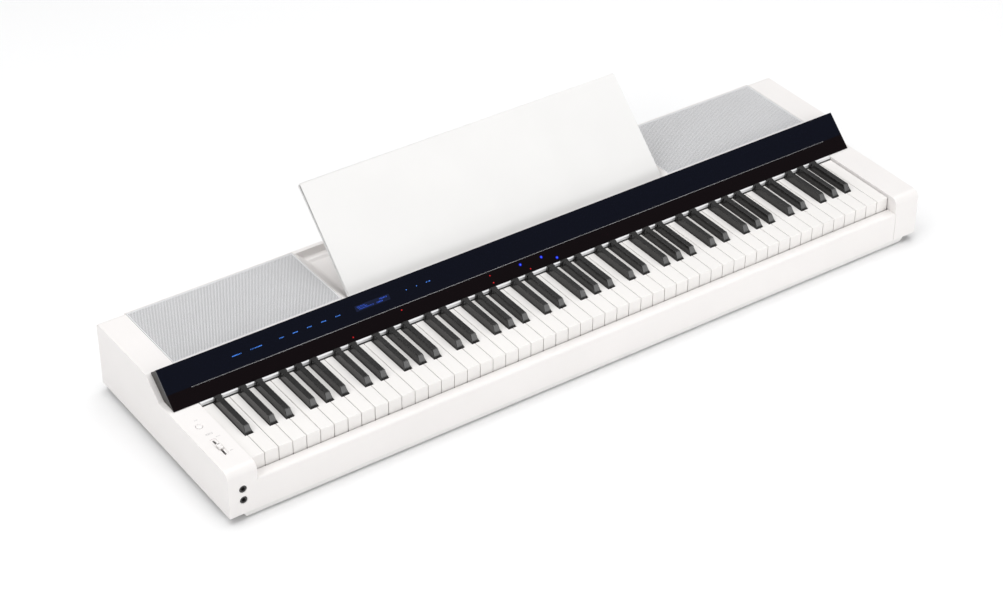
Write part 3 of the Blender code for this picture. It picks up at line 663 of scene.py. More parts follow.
def build_end_blocks():
    data, tools = end_block(1)
    piece("right_end_block_shell", carved(data, tools), BODY, replaced=("right_end_block",))
    data, tools = end_block(-1)
    for height in JACK_HEIGHTS:
        profile = [(0.0, -0.002), (0.0072, -0.002), (0.0062, 0.0006), (0.0062, 0.006), (0.0, 0.006)]
        tools.append(turned(profile, (JACK_X, 0.0, height), (0, 1, 0)))
    dish = [(0.0, 0.070), (0.0056, 0.070), (0.0056, BLOCK_TOP - 0.0006), (0.0066, BLOCK_TOP + 0.0004),
            (0.0, BLOCK_TOP + 0.0004)]
    tools.append(turned(dish, (BUTTON_X, BUTTON_Y, 0.0)))
    recess = (SLOT_ENDS[0] - 0.003, SLOT_ENDS[1] + 0.003)
    tools.append(slab(slot_outline(KNOB_X, recess, 0.0052), BLOCK_TOP - 0.0012, BLOCK_TOP + 0.002))
    tools.append(slab(slot_outline(KNOB_X, SLOT_ENDS, 0.0018), 0.070, BLOCK_TOP + 0.002))
    piece("left_end_block_shell", carved(data, tools), BODY, replaced=("left_end_block",))


def build_front_rail():
    """Key slip: one moulding with a soft front edge, its lower edge just above the board."""
    front, top, rear, lip = RAIL_LOW.y - 0.0009, RAIL_HIGH.z, RAIL_HIGH.y, 0.0025
    outline = rounded([(front, UNDERSIDE, 0.0006), (front, top, 0.0038), (rear, top, 0.0010),
                       (rear, top - 0.010, 0.0004), (rear - lip, top - 0.010, 0.0004),
                       (rear - lip, top - WALL, 0.001),
                       (front + WALL, top - WALL, 0.001), (front + WALL, UNDERSIDE, 0.0006)], 8)
    data = prism(outline, RAIL_LOW.x - 0.0002, RAIL_HIGH.x + 0.0002)
    piece("key_slip", data, BODY, replaced=("front_rail",))


def smooth_steps(points, radius):
    """Height along a line of (place, height) points, each bend eased over the radius."""
    places = np.array([p for p, _ in points])
    heights = np.array([h for _, h in points])

    def height(at):
        offsets = np.linspace(-radius, radius, 9)
        weights = 1 - (offsets / radius) ** 2 + 0.05
        return float(np.sum(weights * np.interp(at + offsets, places, heights)) / np.sum(weights))
    return height


def well_tool():
    """The space of the recess behind the panel: flared sides that melt into the floor, a front
    ledge for the rest, a low step at the rear, and a small round along the brim."""
    lip = 0.0009
    flare = [(0.0, WELL_FLOOR), (WELL_FLOOR_HALF - 0.003, WELL_FLOOR), (WELL_HALF - 0.0004, DECK_Z + 0.0006)]
    side = smooth_steps(flare, 0.007)
    profile = {WELL_FRONT - lip: DECK_Z, WELL_FRONT - lip * 0.6: DECK_Z - lip * 0.1, WELL_FRONT: DECK_Z - lip,
               WELL_FRONT + 0.0001: 0.1016, WELL_FRONT + 0.0008: 0.1010, WELL_LEDGE - 0.0008: 0.1010,
               WELL_LEDGE - 0.0001: 0.1004, WELL_LEDGE: WELL_FLOOR + 0.002,
               WELL_LEDGE + 0.0006: WELL_FLOOR + 0.0006,
               WELL_LEDGE + 0.002: WELL_FLOOR, 0.300: WELL_FLOOR, WELL_STEP - 0.0040: WELL_FLOOR,
               WELL_STEP - 0.0026: WELL_FLOOR + 0.0003, WELL_STEP - 0.0014: WELL_FLOOR + 0.0012,
               WELL_STEP: 0.0964, WELL_STEP + 0.0010: 0.0973, WELL_STEP + 0.0020: 0.0978,
               WELL_STEP + 0.0030: 0.0980,
               WELL_REAR - 0.0030: 0.0980, WELL_REAR - 0.0012: 0.0985, WELL_REAR - 0.0003: 0.0998,
               WELL_REAR: 0.1012, WELL_REAR + 0.0001: DECK_Z - lip, WELL_REAR + lip * 0.4: DECK_Z - lip * 0.3,
               WELL_REAR + lip: DECK_Z}
    half_line = [0.0, 0.1, 0.2, 0.27, *np.linspace(WELL_FLOOR_HALF - 0.014, WELL_HALF - 0.0012, 22),
                 WELL_HALF - 0.0004, WELL_HALF]
    across = [-x for x in reversed(half_line[1:])] + half_line
    data = bmesh.new()
    ceiling = DECK_Z + 0.001
    rows = []
    for y, low in profile.items():
        row = []
        for x in across:
            rise = side(min(abs(x), WELL_HALF - 0.0004))
            z = min(DECK_Z, max(low, rise)) if abs(x) < WELL_HALF else DECK_Z
            row.append(data.verts.new((x, y, z)))
        rows.append(row)
    for row, after in zip(rows, rows[1:]):
        for i in range(len(row) - 1):
            data.faces.new((row[i], row[i + 1], after[i + 1], after[i]))
    rim = [edge for edge in data.edges if len(edge.link_faces) == 1]
    raised = bmesh.ops.extrude_edge_only(data, edges=rim)["geom"]
    top = [item for item in raised if isinstance(item, bmesh.types.BMVert)]
    for vert in top:
        vert.co.z = ceiling
    top_edges = [item for item in raised if isinstance(item, bmesh.types.BMEdge)
                 and all(v in set(top) for v in item.verts)]
    bmesh.ops.contextual_create(data, geom=top_edges)
    bmesh.ops.recalc_face_normals(data, faces=data.faces)
    return data


def build_top_cover():
    """Deck with the panel seat, the flared recess and a pocket for each grille."""
    half = BLOCK_INNER - FIT
    under = DECK_Z - 0.006
    outline = rounded([(SLOPE_FOOT, BLOCK_TOP, 0.0006), (SLOPE_HEAD, DECK_Z, 0.0008), (DEPTH, DECK_Z, 0.0034),
                       (DEPTH, 0.1003, 0.0), (0.3965, 0.1003, 0.0), (0.3965, under, 0.0),
                       (0.23835, under, 0.0), (0.206, 0.0779, 0.0006)], 6)
    data = prism(outline, -half, half)
    tub = WELL_HALF + 0.005
    solid = carved(data, [box((-tub, 0.2360, WELL_FLOOR - WALL), (tub, 0.393, 0.1070))], "UNION")
    tools = [well_tool()]
    for side in (-1, 1):
        low, high = case_box("left_grille" if side < 0 else "right_grille")
        x_low, x_high = (-half - 0.005, high.x + FIT) if side < 0 else (low.x - FIT, half + 0.005)
        tools.append(box((x_low, low.y - FIT, low.z - FIT), (x_high, high.y + FIT, DECK_Z + 0.004)))
        for node, radius in (("woofer", 0.058), ("tweeter", 0.023)):
            speaker_low, speaker_high = case_box(("left_" if side < 0 else "right_") + node)
            centre = (speaker_low + speaker_high) / 2
            profile = [(0.0, 0.100), (radius, 0.100), (radius, 0.115), (0.0, 0.115)]
            tools.append(turned(profile, (centre.x, centre.y, 0.0), steps=64))
    piece("rear_deck", carved(solid, tools), BODY, replaced=("top_cover",), smooth=28.0)


def cell_mesh():
    """One six-sided cell of the grille sheet, pierced, with a wall down the hole."""
    data = bmesh.new()
    rings = []
    for radius, z in ((1.0, 0.0), (0.69, 0.0), (0.66, -1.0)):
        angles = [math.radians(30 + 60 * i) for i in range(6)]
        rings.append([data.verts.new((radius * math.cos(a), radius * math.sin(a), z)) for a in angles])
    for ring, inner in zip(rings, rings[1:]):
        for i in range(6):
            after = (i + 1) % 6
            data.faces.new((ring[i], ring[after], inner[after], inner[i]))
    return data


def build_grilles():
    """A pierced steel sheet inside a plain rim, over dark cloth, above each pair of speakers."""
    tree = sheet_tree()
    cell = scratch_object("grille_cell", cell_mesh())
    rim_width, pitch = 0.0019, 0.0026
    row = pitch * math.sqrt(3) / 2
    for name in ("left_grille", "right_grille"):
        low, high = case_box(name)
        centre = (low + high) / 2
        low, high = low + Vector((0.0004, 0.0004, 0.0)), high - Vector((0.0004, 0.0004, 0.0))
        columns = math.floor((high.x - low.x - pitch / 2) / pitch)
        rows = math.floor((high.y - low.y - pitch / 2) / (2 * row))
        width, depth = (columns - 1) * pitch, (rows - 1) * 2 * row
        sheet = run_tree(tree, points_mesh([(0, 0, 0)]), Width=width, Depth=depth, Columns=columns,
                         Rows=rows, Shift=(pitch / 2, row, 0.0), Cell=cell, Material=GRILLE,
                         CellSize=(pitch / math.sqrt(3),) * 2 + (0.0006,))
        shift = (centre.x - pitch / 4, centre.y - row / 2, high.z - 0.0002)
        bmesh.ops.translate(sheet, verts=sheet.verts, vec=shift)
        rim = slab(rounded_rectangle((low.x, low.y), (high.x, high.y), 0.0012), low.z, high.z)
        opening = box((low.x + rim_width, low.y + rim_width, low.z - 0.01),
                      (high.x - rim_width, high.y - rim_width, high.z + 0.01))
        rim = carved(rim, [opening])
        round_edges(rim, rim_at(2, high.z), 0.0003, 2)
        piece(name + "_sheet", joined([sheet, rim]), GRILLE, replaced=(name,),
              smooth=50.0)
        inset = Vector((0.0005, 0.0005, 0.0))
        cloth = box(low + inset, (high.x - 0.0005, high.y - 0.0005, low.z + 0.0004))
        round_edges(cloth, sharp, 0.0001, 1)
        piece(name + "_cloth", cloth, CLOTH)
    bpy.data.objects.remove(cell, do_unlink=True)


def build_speakers():
    """Cone, half-roll surround and dust cap in a pressed basket, with the magnet behind."""
    quarter = np.linspace(0.0, math.pi / 2, 7)
    for side in ("left", "right"):
        low, high = case_box(side + "_woofer")
        centre = (low + high) / 2
        radius, top, bottom = (high.x - low.x) / 2, high.z, low.z
        roll = [(0.0505 + 0.0055 * math.cos(a), top - 0.0035 + 0.0032 * math.sin(a))
                for a in np.linspace(0.0, math.pi, 9)]
        cap = [(0.016 * math.cos(a), top - 0.0125 + 0.006 * math.sin(a)) for a in quarter]
        profile = [(0.0, bottom), (0.029, bottom), (0.030, bottom + 0.001), (0.030, bottom + 0.017),
                   (0.036, bottom + 0.020), (0.060, top - 0.007), (radius, top - 0.0045),
                   (radius, top - 0.0004), (radius - 0.0006, top), (0.0575, top), *roll,
                   (0.0445, top - 0.0040), (0.018, top - 0.0150), *cap[:-1], (0.0, top - 0.0065)]
        piece(side + "_woofer_driver", turned(profile, (centre.x, centre.y, 0.0), steps=64), CONE,
              replaced=(side + "_woofer",))
        low, high = case_box(side + "_tweeter")
        centre = (low + high) / 2
        radius, top, bottom = (high.x - low.x) / 2, high.z, low.z
        dome = [(0.012 * math.cos(a), top - 0.0042 + 0.0038 * math.sin(a)) for a in quarter]
        profile = [(0.0, bottom), (0.019, bottom), (0.019, top - 0.005), (radius, top - 0.004),
                   (radius, top - 0.0004), (radius - 0.0005, top), (0.018, top), (0.0145, top - 0.0036),
                   *dome[:-1], (0.0, top - 0.0004)]
        piece(side + "_tweeter_driver", turned(profile, (centre.x, centre.y, 0.0), steps=48), CONE,
              replaced=(side + "_tweeter",))


def screw_object():
    """Pan head with a cross recess, its axis along +z."""
    head = [(0.0, -0.0006), (0.0036, -0.0006), (0.0037, 0.0002), (0.0032, 0.0010), (0.0022, 0.0015),
            (0.0, 0.0017)]
    data = turned(head, (0, 0, 0), steps=24)
    arms = [box((-x, -y, 0.0005), (x, y, 0.003)) for x, y in ((0.0004, 0.0017), (0.0017, 0.0004))]
    return scratch_object("screw", carved(data, arms))


def build_rear_panel(screws, screw):
    low, high = case_box("rear_panel")
    data = box(low, high)
    round_edges(data, sharp, 0.0006, 3)
    window = prism([(0.38, SOCKET_LOW.z - FIT), (0.41, SOCKET_LOW.z - FIT), (0.41, SOCKET_HIGH.z + FIT),
                    (0.38, SOCKET_HIGH.z + FIT)], SOCKET_LOW.x - FIT, SOCKET_HIGH.x + FIT)
    piece("rear_panel_sheet", carved(data, [window]), BODY, replaced=("rear_panel",))
    places = [(x, DEPTH - 0.0012, z) for x in (-0.58, -0.30, 0.0, 0.30, 0.58) for z in (0.010, 0.088)]
    data = run_tree(screws, points_mesh(places), Turn=(math.radians(-90), 0.0, 0.0), Fastener=screw,
                    Material=STEEL)
    piece("rear_panel_screws", data, STEEL)


def build_underside(screws, screw):
    low, high = case_box("bottom_board")
    data = box(low, high)
    for vert in data.verts:
        if vert.co.z < (low.z + high.z) / 2:
            vert.co.x -= math.copysign(0.006, vert.co.x)
            vert.co.y += 0.0015 if vert.co.y < DEPTH / 2 else -0.0015
    round_edges(data, sharp, 0.0012, 3)
    piece("base_board", data, BOARD, replaced=("bottom_board",))
    places = [(x, y, low.z + 0.0010) for x in (-0.61, -0.37, -0.12, 0.12, 0.37, 0.61)
              for y in (0.022, 0.200, 0.378) if abs(x) < 0.6 or y == 0.200]
    data = run_tree(screws, points_mesh(places), Turn=(math.pi, 0.0, 0.0), Fastener=screw, Material=STEEL)
    piece("base_board_screws", data, STEEL)
    for node in ("front_left_foot", "front_right_foot", "rear_left_foot", "rear_right_foot"):
        foot_low, foot_high = case_box(node)
        centre = (foot_low + foot_high) / 2
        radius, bottom, top = (foot_high.x - foot_low.x) / 2, foot_low.z, foot_high.z
        profile = [(0.0, bottom + 0.0012), (0.005, bottom + 0.0012), (0.0056, bottom + 0.0002),
                   (0.0062, bottom), (radius - 0.0012, bottom), (radius - 0.0003, bottom + 0.0005),
                   (radius, bottom + 0.0012), (radius - 0.0008, top), (0.0, top)]
        piece(node + "_pad", turned(profile, (centre.x, centre.y, 0.0), steps=40), RUBBER,
              replaced=(node,))


# ---------------------------------------------------------------- control panel
def panel_at():
    return sloped(PANEL_FOOT, PANEL_LEAN)


def panel_foot_at(depth):
    return panel_at()(depth * math.cos(PANEL_LEAN) / math.sin(PANEL_LEAN), depth)


def on_slope(at, start, end, shallow, deep):
    """A rectangle of (y, z) points on a slope, from start to end up it and between two depths."""
    return [at(start, shallow), at(end, shallow), at(end, deep), at(start, deep)]


def on_panel(data, lift=0.0):
    """Lay a flat mesh, made with x across and y up the face, on the panel's front."""
    turn = Matrix.Rotation(PANEL_LEAN, 4, "X")
    foot_y, foot_z = panel_at()(0.0, -lift)
    bmesh.ops.transform(data, matrix=Matrix.Translation((0.0, foot_y, foot_z)) @ turn, verts=data.verts)
    return data


def build_panel():
    at = panel_at()
    outline = [PANEL_FOOT, at(PANEL_LENGTH, 0.0), at(PANEL_LENGTH, GLASS_THICK), panel_foot_at(GLASS_THICK)]
    data = prism(outline, -PANEL_HALF, PANEL_HALF)
    round_edges(data, sharp, 0.0005, 3)
    groove = on_slope(at, TRIM_AT - 0.0006, TRIM_AT + 0.0006, -0.001, 0.0013)
    data = carved(data, [prism(groove, -TRIM_HALF - FIT, TRIM_HALF + FIT)])
    piece("smoked_panel_cover", data, PANEL, replaced=("panel_glass",), smooth=25.0)
    layer = GLASS_THICK + FIT
    back = [(*panel_foot_at(layer), 0.0), (*at(PANEL_LENGTH - 0.0002, layer), 0.0), (0.2394, 0.1119, 0.0012),
            (0.2029, PANEL_FOOT[1], 0.0012)]
    data = prism(rounded(back, 4), -PANEL_HALF + 0.0004, PANEL_HALF - 0.0004)
    round_edges(data, sharp, 0.0006, 2)
    data = carved(data, [prism(on_slope(at, 0.020, 0.062, layer - 0.002, 0.0125), -0.640, 0.640)])
    piece("panel_back_shell", data, PANEL_END, replaced=("panel_housing",))
    data = prism(on_slope(at, TRIM_AT - 0.0005, TRIM_AT + 0.0005, 0.0001, 0.001), -TRIM_HALF, TRIM_HALF)
    round_edges(data, sharp, 0.0001, 2)
    piece("silver_inlay", data, SILVER, replaced=("panel_trim_line",))


def build_key_strip():
    """Pale strip under the panel, with a black edge along its foot: painted shade standing in for the shadow
    gap above the key tails.
    """
    low, high = case_box("key_strip")
    # felt is the height of the black edge, a painted shadow band along the strip's foot.
    lip, felt = 0.003, 0.0012
    outline = rounded([(low.y, low.z + felt, 0.0003), (low.y, high.z, 0.0003), (high.y, high.z, 0.0),
                       (high.y, high.z - 0.002, 0.0), (low.y + lip, high.z - 0.002, 0.0004),
                       (low.y + lip, low.z + felt, 0.0003)], 3)
    piece("fallboard_strip", prism(outline, low.x, high.x), STRIP, replaced=("key_strip",))
    # Black edge piece under the strip: painted shade for the shadow gap above the key tails.
    edge = box((low.x, low.y - 0.0004, low.z - 0.0008), (high.x, low.y + lip, low.z + felt))
    round_edges(edge, sharp, 0.0003, 2)
    piece("fallboard_felt_edge", edge, SHADOW_GAP_BLACK)


def bar_object():
    """A unit bar, 0.06 mm thick, with its corners cut, for the tick rows."""
    outline = [(-0.5, -0.35), (-0.4, -0.5), (0.4, -0.5), (0.5, -0.35), (0.5, 0.35), (0.4, 0.5),
               (-0.4, 0.5), (-0.5, 0.35)]
    return scratch_object("bar", slab(outline, 0.00002, 0.00008))


def tick_row(tree, bar, centre, count, step, height, seed, material):
    data = run_tree(tree, points_mesh([(0, 0, 0)]), Count=count, Step=step, Height=height, Seed=seed,
                    Bar=bar, Material=material)
    shift = (centre[0] - step * (count - 1) / 2, centre[1], 0.0)
    bmesh.ops.translate(data, verts=data.verts, vec=shift)
    return data


def dot(centre, radius):
    profile = [(0.0, 0.00002), (radius, 0.00002), (radius, 0.00006), (radius * 0.6, 0.00012),
               (0.0, 0.00014)]
    return turned(profile, (centre[0], centre[1], 0.0), steps=20)


def build_panel_lights(tree, bar):
    """Lit touch legends, the display's rows and the small lamps, as plain ticks and dots."""
    legends = [(-0.5275, 7, 0.0024), (-0.4945, 8, 0.0026), (-0.4500, 4, 0.0023), (-0.4260, 4, 0.0023),
               (-0.4010, 4, 0.0023), (-0.3760, 4, 0.0023), (-0.3505, 4, 0.0023)]
    rows = [tick_row(tree, bar, (x, 0.0463), count, step, 0.0015, seed, LIT_PALE)
            for seed, (x, count, step) in enumerate(legends)]
    dots = [dot((x, 0.046), 0.0008) for x in (-0.226, -0.207)]
    arrows = tick_row(tree, bar, (-0.1858, 0.046), 3, 0.0028, 0.0016, 9, LIT_PALE)
    piece("touch_legends", on_panel(joined(rows + dots + [arrows])), LIT_PALE)
    lines = [((-0.308, 0.0482), 7, 0.0022, 0.0012), ((-0.306, 0.0462), 8, 0.0022, 0.0012),
             ((-0.300, 0.0440), 12, 0.0022, 0.0014), ((-0.268, 0.0478), 6, 0.0024, 0.0022),
             ((-0.276, 0.0440), 5, 0.0024, 0.0022)]
    rows = [tick_row(tree, bar, place, count, step, height, 20 + i, LIT_ROWS)
            for i, (place, count, step, height) in enumerate(lines)]
    piece("display_rows", on_panel(joined(rows)), LIT_ROWS)
    window = slab(rounded_rectangle((-0.3190, 0.0412), (-0.2570, 0.0505), 0.0008), 0.00001, 0.00002)
    piece("display_window_film", on_panel(window), DISPLAY)
    red = [(-0.3416, 0.0068), (-0.2477, 0.0190), (-0.0820, 0.0190), (-0.0810, 0.0064),
           (-0.0100, 0.0057)]
    blue = [(-0.0240, 0.0178), (0.0165, 0.0170), (0.0425, 0.0070)]
    piece("red_lamps", on_panel(joined([dot(place, 0.0011) for place in red])), LIT_RED)
    lamps = joined([dot(place, 0.0010) for place in blue])
    piece("blue_lamps", on_panel(lamps, 0.00005), LIT_BLUE)
    halos = joined([dot(place, 0.0024) for place in blue])
    piece("blue_lamp_lenses", on_panel(halos), LIT_DEEP)


# ---------------------------------------------------------------- keys
def white_left(index):
    return (index - WHITE_COUNT / 2) * WHITE_PITCH


def key_sides(first_white, last_white):
    return white_left(first_white) + KEY_GAP / 2, white_left(last_white + 1) - KEY_GAP / 2


def black_centres(first_white):
    """Centres of an octave's five black keys; the C to E and F to B groups space theirs apart."""
    centres = []
    for start, whites in ((0, 3), (3, 4)):
        tail = (whites * WHITE_PITCH - (whites - 1) * BLACK_WIDTH) / whites
        left = white_left(first_white + start)
        centres += [left + (i + 1) * tail + (i + 0.5) * BLACK_WIDTH for i in range(whites - 1)]
    return centres


ALL_BLACK = [black_centres(-5)[-1]] + [x for octave in range(7) for x in black_centres(2 + 7 * octave)]


def tail_span(index):
    left, right = key_sides(index, index)
    reach = BLACK_WIDTH / 2 + BLACK_CLEAR
    for centre in ALL_BLACK:
        if centre < left + WHITE_PITCH / 2 and centre + reach > left:
            left = centre + reach
        if centre > right - WHITE_PITCH / 2 and centre - reach < right:
            right = centre - reach
    return left, right


def comb_plate(first_white, last_white, level):
    left, right = key_sides(first_white, last_white)
    return (left, COMB_FRONT, level), (right, COMB_REAR, level + COMB_THICK)


def white_comb(name, keys, first_white, last_white, level_index):
    """White keys with soft rims, full-depth fronts and their joining plate at the rear."""
    level = COMB_LEVELS[level_index]
    blocks = [comb_plate(first_white, last_white, level)]
    notch = BLACK_FRONT - KEY_GAP
    for index in keys:
        left, right = key_sides(index, index)
        tail_left, tail_right = tail_span(index)
        blocks += [((left, KEY_FRONT, KEY_UNDER), (right, notch, KEY_TOP)),
                   ((left, KEY_FRONT, SKIRT_BOTTOM), (right, KEY_FRONT + 0.004, KEY_TOP)),
                   ((tail_left, notch - 0.001, KEY_UNDER), (tail_right, KEY_SHOWN, KEY_TOP)),
                   ((tail_left, KEY_SHOWN, KEY_UNDER), (tail_right, TAIL_END, TAIL_TOP)),
                   ((tail_left, TAIL_END - 0.005, level), (tail_right, TAIL_END, KEY_UNDER + 0.001)),
                   ((tail_left, TAIL_END - 0.001, level),
                    (tail_right, COMB_FRONT + 0.001, level + COMB_THICK))]
    data = blocks_solid(blocks)

    def rim(edge):
        a, b = (v.co for v in edge.verts)
        on_top = abs(a.z - KEY_TOP) < 1e-6 and abs(b.z - KEY_TOP) < 1e-6 and sharp(edge)
        at_front = abs(a.y - KEY_FRONT) < 1e-6 and abs(b.y - KEY_FRONT) < 1e-6
        return on_top or (at_front and abs(a.x - b.x) < 1e-6)

    round_edges(data, rim, 0.0007, 3)
    piece(name + "_set", data, WHITE_KEY, body=name, replaced=(name,), smooth=32.0)


def black_body(centre):
    """Tapered body on a wider foot, leaning back at the front; the full-width block behind comes from
    black_heel.
    """
    low, rear = COMB_LEVELS[2], KEY_SHOWN - 0.0005
    levels = [(low, 0.0065, 0.0), (KEY_TOP + 0.0012, 0.0065, 0.0), (KEY_TOP + 0.0020, 0.0061, 0.0011),
              (KEY_TOP + 0.0045, 0.0055, 0.0028), (BLACK_TOP, 0.0046, 0.0074)]
    data = bmesh.new()
    rings = []
    for z, half, lean in levels:
        plan = [(-half, BLACK_FRONT + lean), (half, BLACK_FRONT + lean), (half, rear), (-half, rear)]
        rings.append([data.verts.new((centre + x, y, z)) for x, y in plan])
    for ring, above in zip(rings, rings[1:]):
        for i in range(4):
            after = (i + 1) % 4
            data.faces.new((ring[i], ring[after], above[after], above[i]))
    data.faces.new(rings[0][::-1])
    data.faces.new(rings[-1])
    bmesh.ops.recalc_face_normals(data, faces=data.faces)

    def crest(edge):
        heights = [v.co.z for v in edge.verts]
        on_top = all(abs(z - BLACK_TOP) < 1e-6 for z in heights)
        in_front = all(v.co.y < rear - 0.01 for v in edge.verts)
        return on_top or (abs(heights[0] - heights[1]) > 1e-6 and in_front and min(heights) > KEY_TOP)

    return round_edges(data, crest, 0.0007, 3)


def black_heel(centre):
    half = BLACK_WIDTH / 2
    data = box((centre - half, KEY_SHOWN - 0.0048, KEY_TOP - 0.001),
               (centre + half, KEY_SHOWN - 0.0004, BLACK_TOP - 0.0005))
    return round_edges(data, rim_at(2, BLACK_TOP - 0.0005), 0.0005, 2)


def black_comb(name, centres, first_white, last_white):
    level, half = COMB_LEVELS[2], BLACK_WIDTH / 2
    blocks = [comb_plate(first_white, last_white, level)]
    for centre in centres:
        blocks.append(((centre - half, KEY_SHOWN - 0.004, level), (centre + half, TAIL_END, TAIL_TOP)))
        blocks.append(((centre - half, TAIL_END - 0.001, level),
                       (centre + half, COMB_FRONT + 0.001, level + COMB_THICK)))
    bodies = joined([black_body(centre) for centre in centres])
    heels = joined([black_heel(centre) for centre in centres])
    data = carved(blocks_solid(blocks), [bodies, heels], "UNION")
    piece(name + "_set", data, BLACK_KEY, body=name, replaced=(name,), smooth=32.0)


def build_keys():
    white_comb("white_keys_low_end", (0, 1), 0, 1, 0)
    black_comb("black_key_low_end", ALL_BLACK[:1], 0, 1)
    for octave in range(7):
        c = 2 + 7 * octave
        white_comb(f"white_keys_c_e_g_b_{octave + 1}", (c, c + 2, c + 4, c + 6), c, c + 6, 0)
        white_comb(f"white_keys_d_f_a_{octave + 1}", (c + 1, c + 3, c + 5), c, c + 6, 1)
        black_comb(f"black_keys_{octave + 1}", black_centres(c), c, c + 6)
    last = WHITE_COUNT - 1
    white_comb("white_key_high_end", (last,), last, last, 0)


# ---------------------------------------------------------------- controls and sockets
def build_controls(tree, bar):
    low, top = BUTTON_LOW, BUTTON_HIGH.z
    dome = [(0.0052 * math.cos(a) ** 0.5, top - 0.0010 + 0.0010 * math.sin(a))
            for a in np.linspace(0.0, math.pi / 2, 8)]
    profile = [(0.0, low.z), (0.0068, low.z), (0.0068, 0.0767), (0.0052, 0.0767), *dome[:-1], (0.0, top)]
    piece("power_button_cap", turned(profile, (BUTTON_X, BUTTON_Y, 0.0)), BODY, body="power_button",
          replaced=("power_button",))
    low, high = KNOB_LOW, KNOB_HIGH
    cap = rounded([(low.y, BLOCK_TOP + FIT, 0.0003), (high.y, BLOCK_TOP + FIT, 0.0003),
                   (high.y - 0.0003, high.z, 0.0016), (KNOB_Y + 0.0012, high.z, 0.0008),
                   (KNOB_Y - 0.0010, high.z - 0.0008, 0.0010), (KNOB_Y - 0.0032, high.z, 0.0008),
                   (low.y + 0.0003, high.z, 0.0016)], 5)
    data = prism(cap, KNOB_X - 0.0033, KNOB_X + 0.0033)
    round_edges(data, level_along(0), 0.0006, 3)
    stem = [box((KNOB_X - 0.0014, KNOB_Y - 0.0022, low.z), (KNOB_X + 0.0014, KNOB_Y + 0.0022, 0.0820)),
            box((low.x, KNOB_Y - 0.005, low.z), (high.x, KNOB_Y + 0.005, 0.0767))]
    data = carved(data, stem, "UNION")
    piece("volume_knob", data, BODY, body="volume_slider", replaced=("volume_slider",))
    line = rounded_rectangle((KNOB_X - 0.0022, KNOB_Y + 0.0030), (KNOB_X + 0.0022, KNOB_Y + 0.0042), 0.0003)
    mark = slab(line, high.z - 0.0002, high.z + 0.00006)
    piece("volume_knob_mark", mark, DARK, body="volume_slider")
    marks = [((BUTTON_X + 0.0024, 0.1370), 3, 0.0019, 0.0013), ((-0.6370, 0.0992), 6, 0.0020, 0.0014),
             ((-0.6370, 0.0968), 6, 0.0020, 0.0014), ((-0.6283, 0.0866), 4, 0.0018, 0.0011),
             ((-0.6277, 0.0475), 3, 0.0018, 0.0011)]
    data = joined([tick_row(tree, bar, *mark, 41 + i, PRINT) for i, mark in enumerate(marks)])
    bmesh.ops.translate(data, verts=data.verts, vec=(0.0, 0.0, BLOCK_TOP))
    piece("printed_legends", data, PRINT)


def jack_profile(face, bore, outer, deep):
    """A moulded socket ring with a rounded mouth, from its rear round to its bore."""
    mouth = [(bore + 0.0006 + 0.0006 * math.cos(a), face + 0.0006 - 0.0006 * math.sin(a))
             for a in np.linspace(math.pi / 2, math.pi, 5)]
    return [(0.0, face + deep + 0.002), (outer, face + deep + 0.002), (outer, face + 0.0005),
            (outer - 0.0005, face), *mouth, (bore, face + 0.0009), (bore, face + deep),
            (0.0, face + deep)]


def build_headphone_jacks():
    low, high = JACK_LOW, JACK_HIGH
    parts = [turned(jack_profile(low.y, 0.0032, 0.0059, 0.0225), (JACK_X, 0.0, height), (0, 1, 0))
             for height in JACK_HEIGHTS]
    body = box((low.x, 0.0034, low.z), (high.x, high.y, high.z))
    round_edges(body, sharp, 0.0006, 2)
    profile = [(0.0, -0.01), (0.0055, -0.01), (0.0055, 0.0225), (0.0, 0.0225)]
    holes = [turned(profile, (JACK_X, 0.0, height), (0, 1, 0)) for height in JACK_HEIGHTS]
    piece("headphone_sockets", joined([carved(body, holes), *parts]), DARK,
          replaced=("headphone_jack_block",))
    springs = []
    for height in JACK_HEIGHTS:
        for x_side in (-1, 1):
            x = JACK_X + x_side * 0.0027
            springs.append(box((x - 0.0003, 0.004, height - 0.0008), (x + 0.0003, 0.014, height + 0.0008)))
    for spring in springs:
        round_edges(spring, sharp, 0.0001, 1)
    piece("headphone_contacts", joined(springs), NICKEL)


def build_rear_sockets():
    low, high = SOCKET_LOW, SOCKET_HIGH
    body = box(low, high)
    round_edges(body, sharp, 0.0006, 2)
    rounds = ((-0.112, 0.0032, 0.012), (-0.222, 0.0032, 0.016), (-0.244, 0.0032, 0.016))
    tools = []
    for x, radius, deep in rounds:
        profile = [(0.0, high.y - deep), (radius, high.y - deep), (radius, high.y - 0.0008),
                   (radius + 0.0009, high.y + 0.0002), (0.0, high.y + 0.0002)]
        tools.append(turned(profile, (x, 0.0, SOCKET_Z), (0, 1, 0)))
        near, far, floor, clear = radius + 0.0018, radius + 0.0032, high.y - 0.0005, high.y + 0.001
        ring = [(near, floor), (far, floor), (far, clear), (near, clear)]
        tools.append(ring_solid(ring, (x, 0.0, SOCKET_Z)))
    ports = ((-0.140, 0.0043, 0.0040), (-0.172, 0.0063, 0.0030))
    for x, half_wide, half_high in ports:
        tools.append(box((x - half_wide, 0.3866, SOCKET_Z - half_high),
                         (x + half_wide, 0.405, SOCKET_Z + half_high)))
    piece("rear_socket_plate", carved(body, tools), DARK, replaced=("rear_socket_block",))
    liners = []
    for x, half_wide, half_high in ports:
        outer = box((x - half_wide, 0.3872, SOCKET_Z - half_high),
                    (x + half_wide, high.y + 0.0003, SOCKET_Z + half_high))
        inner = box((x - half_wide + 0.0003, 0.3876, SOCKET_Z - half_high + 0.0003),
                    (x + half_wide - 0.0003, 0.41, SOCKET_Z + half_high - 0.0003))
        liners.append(carved(outer, [inner]))
    piece("data_socket_liners", joined(liners), NICKEL)


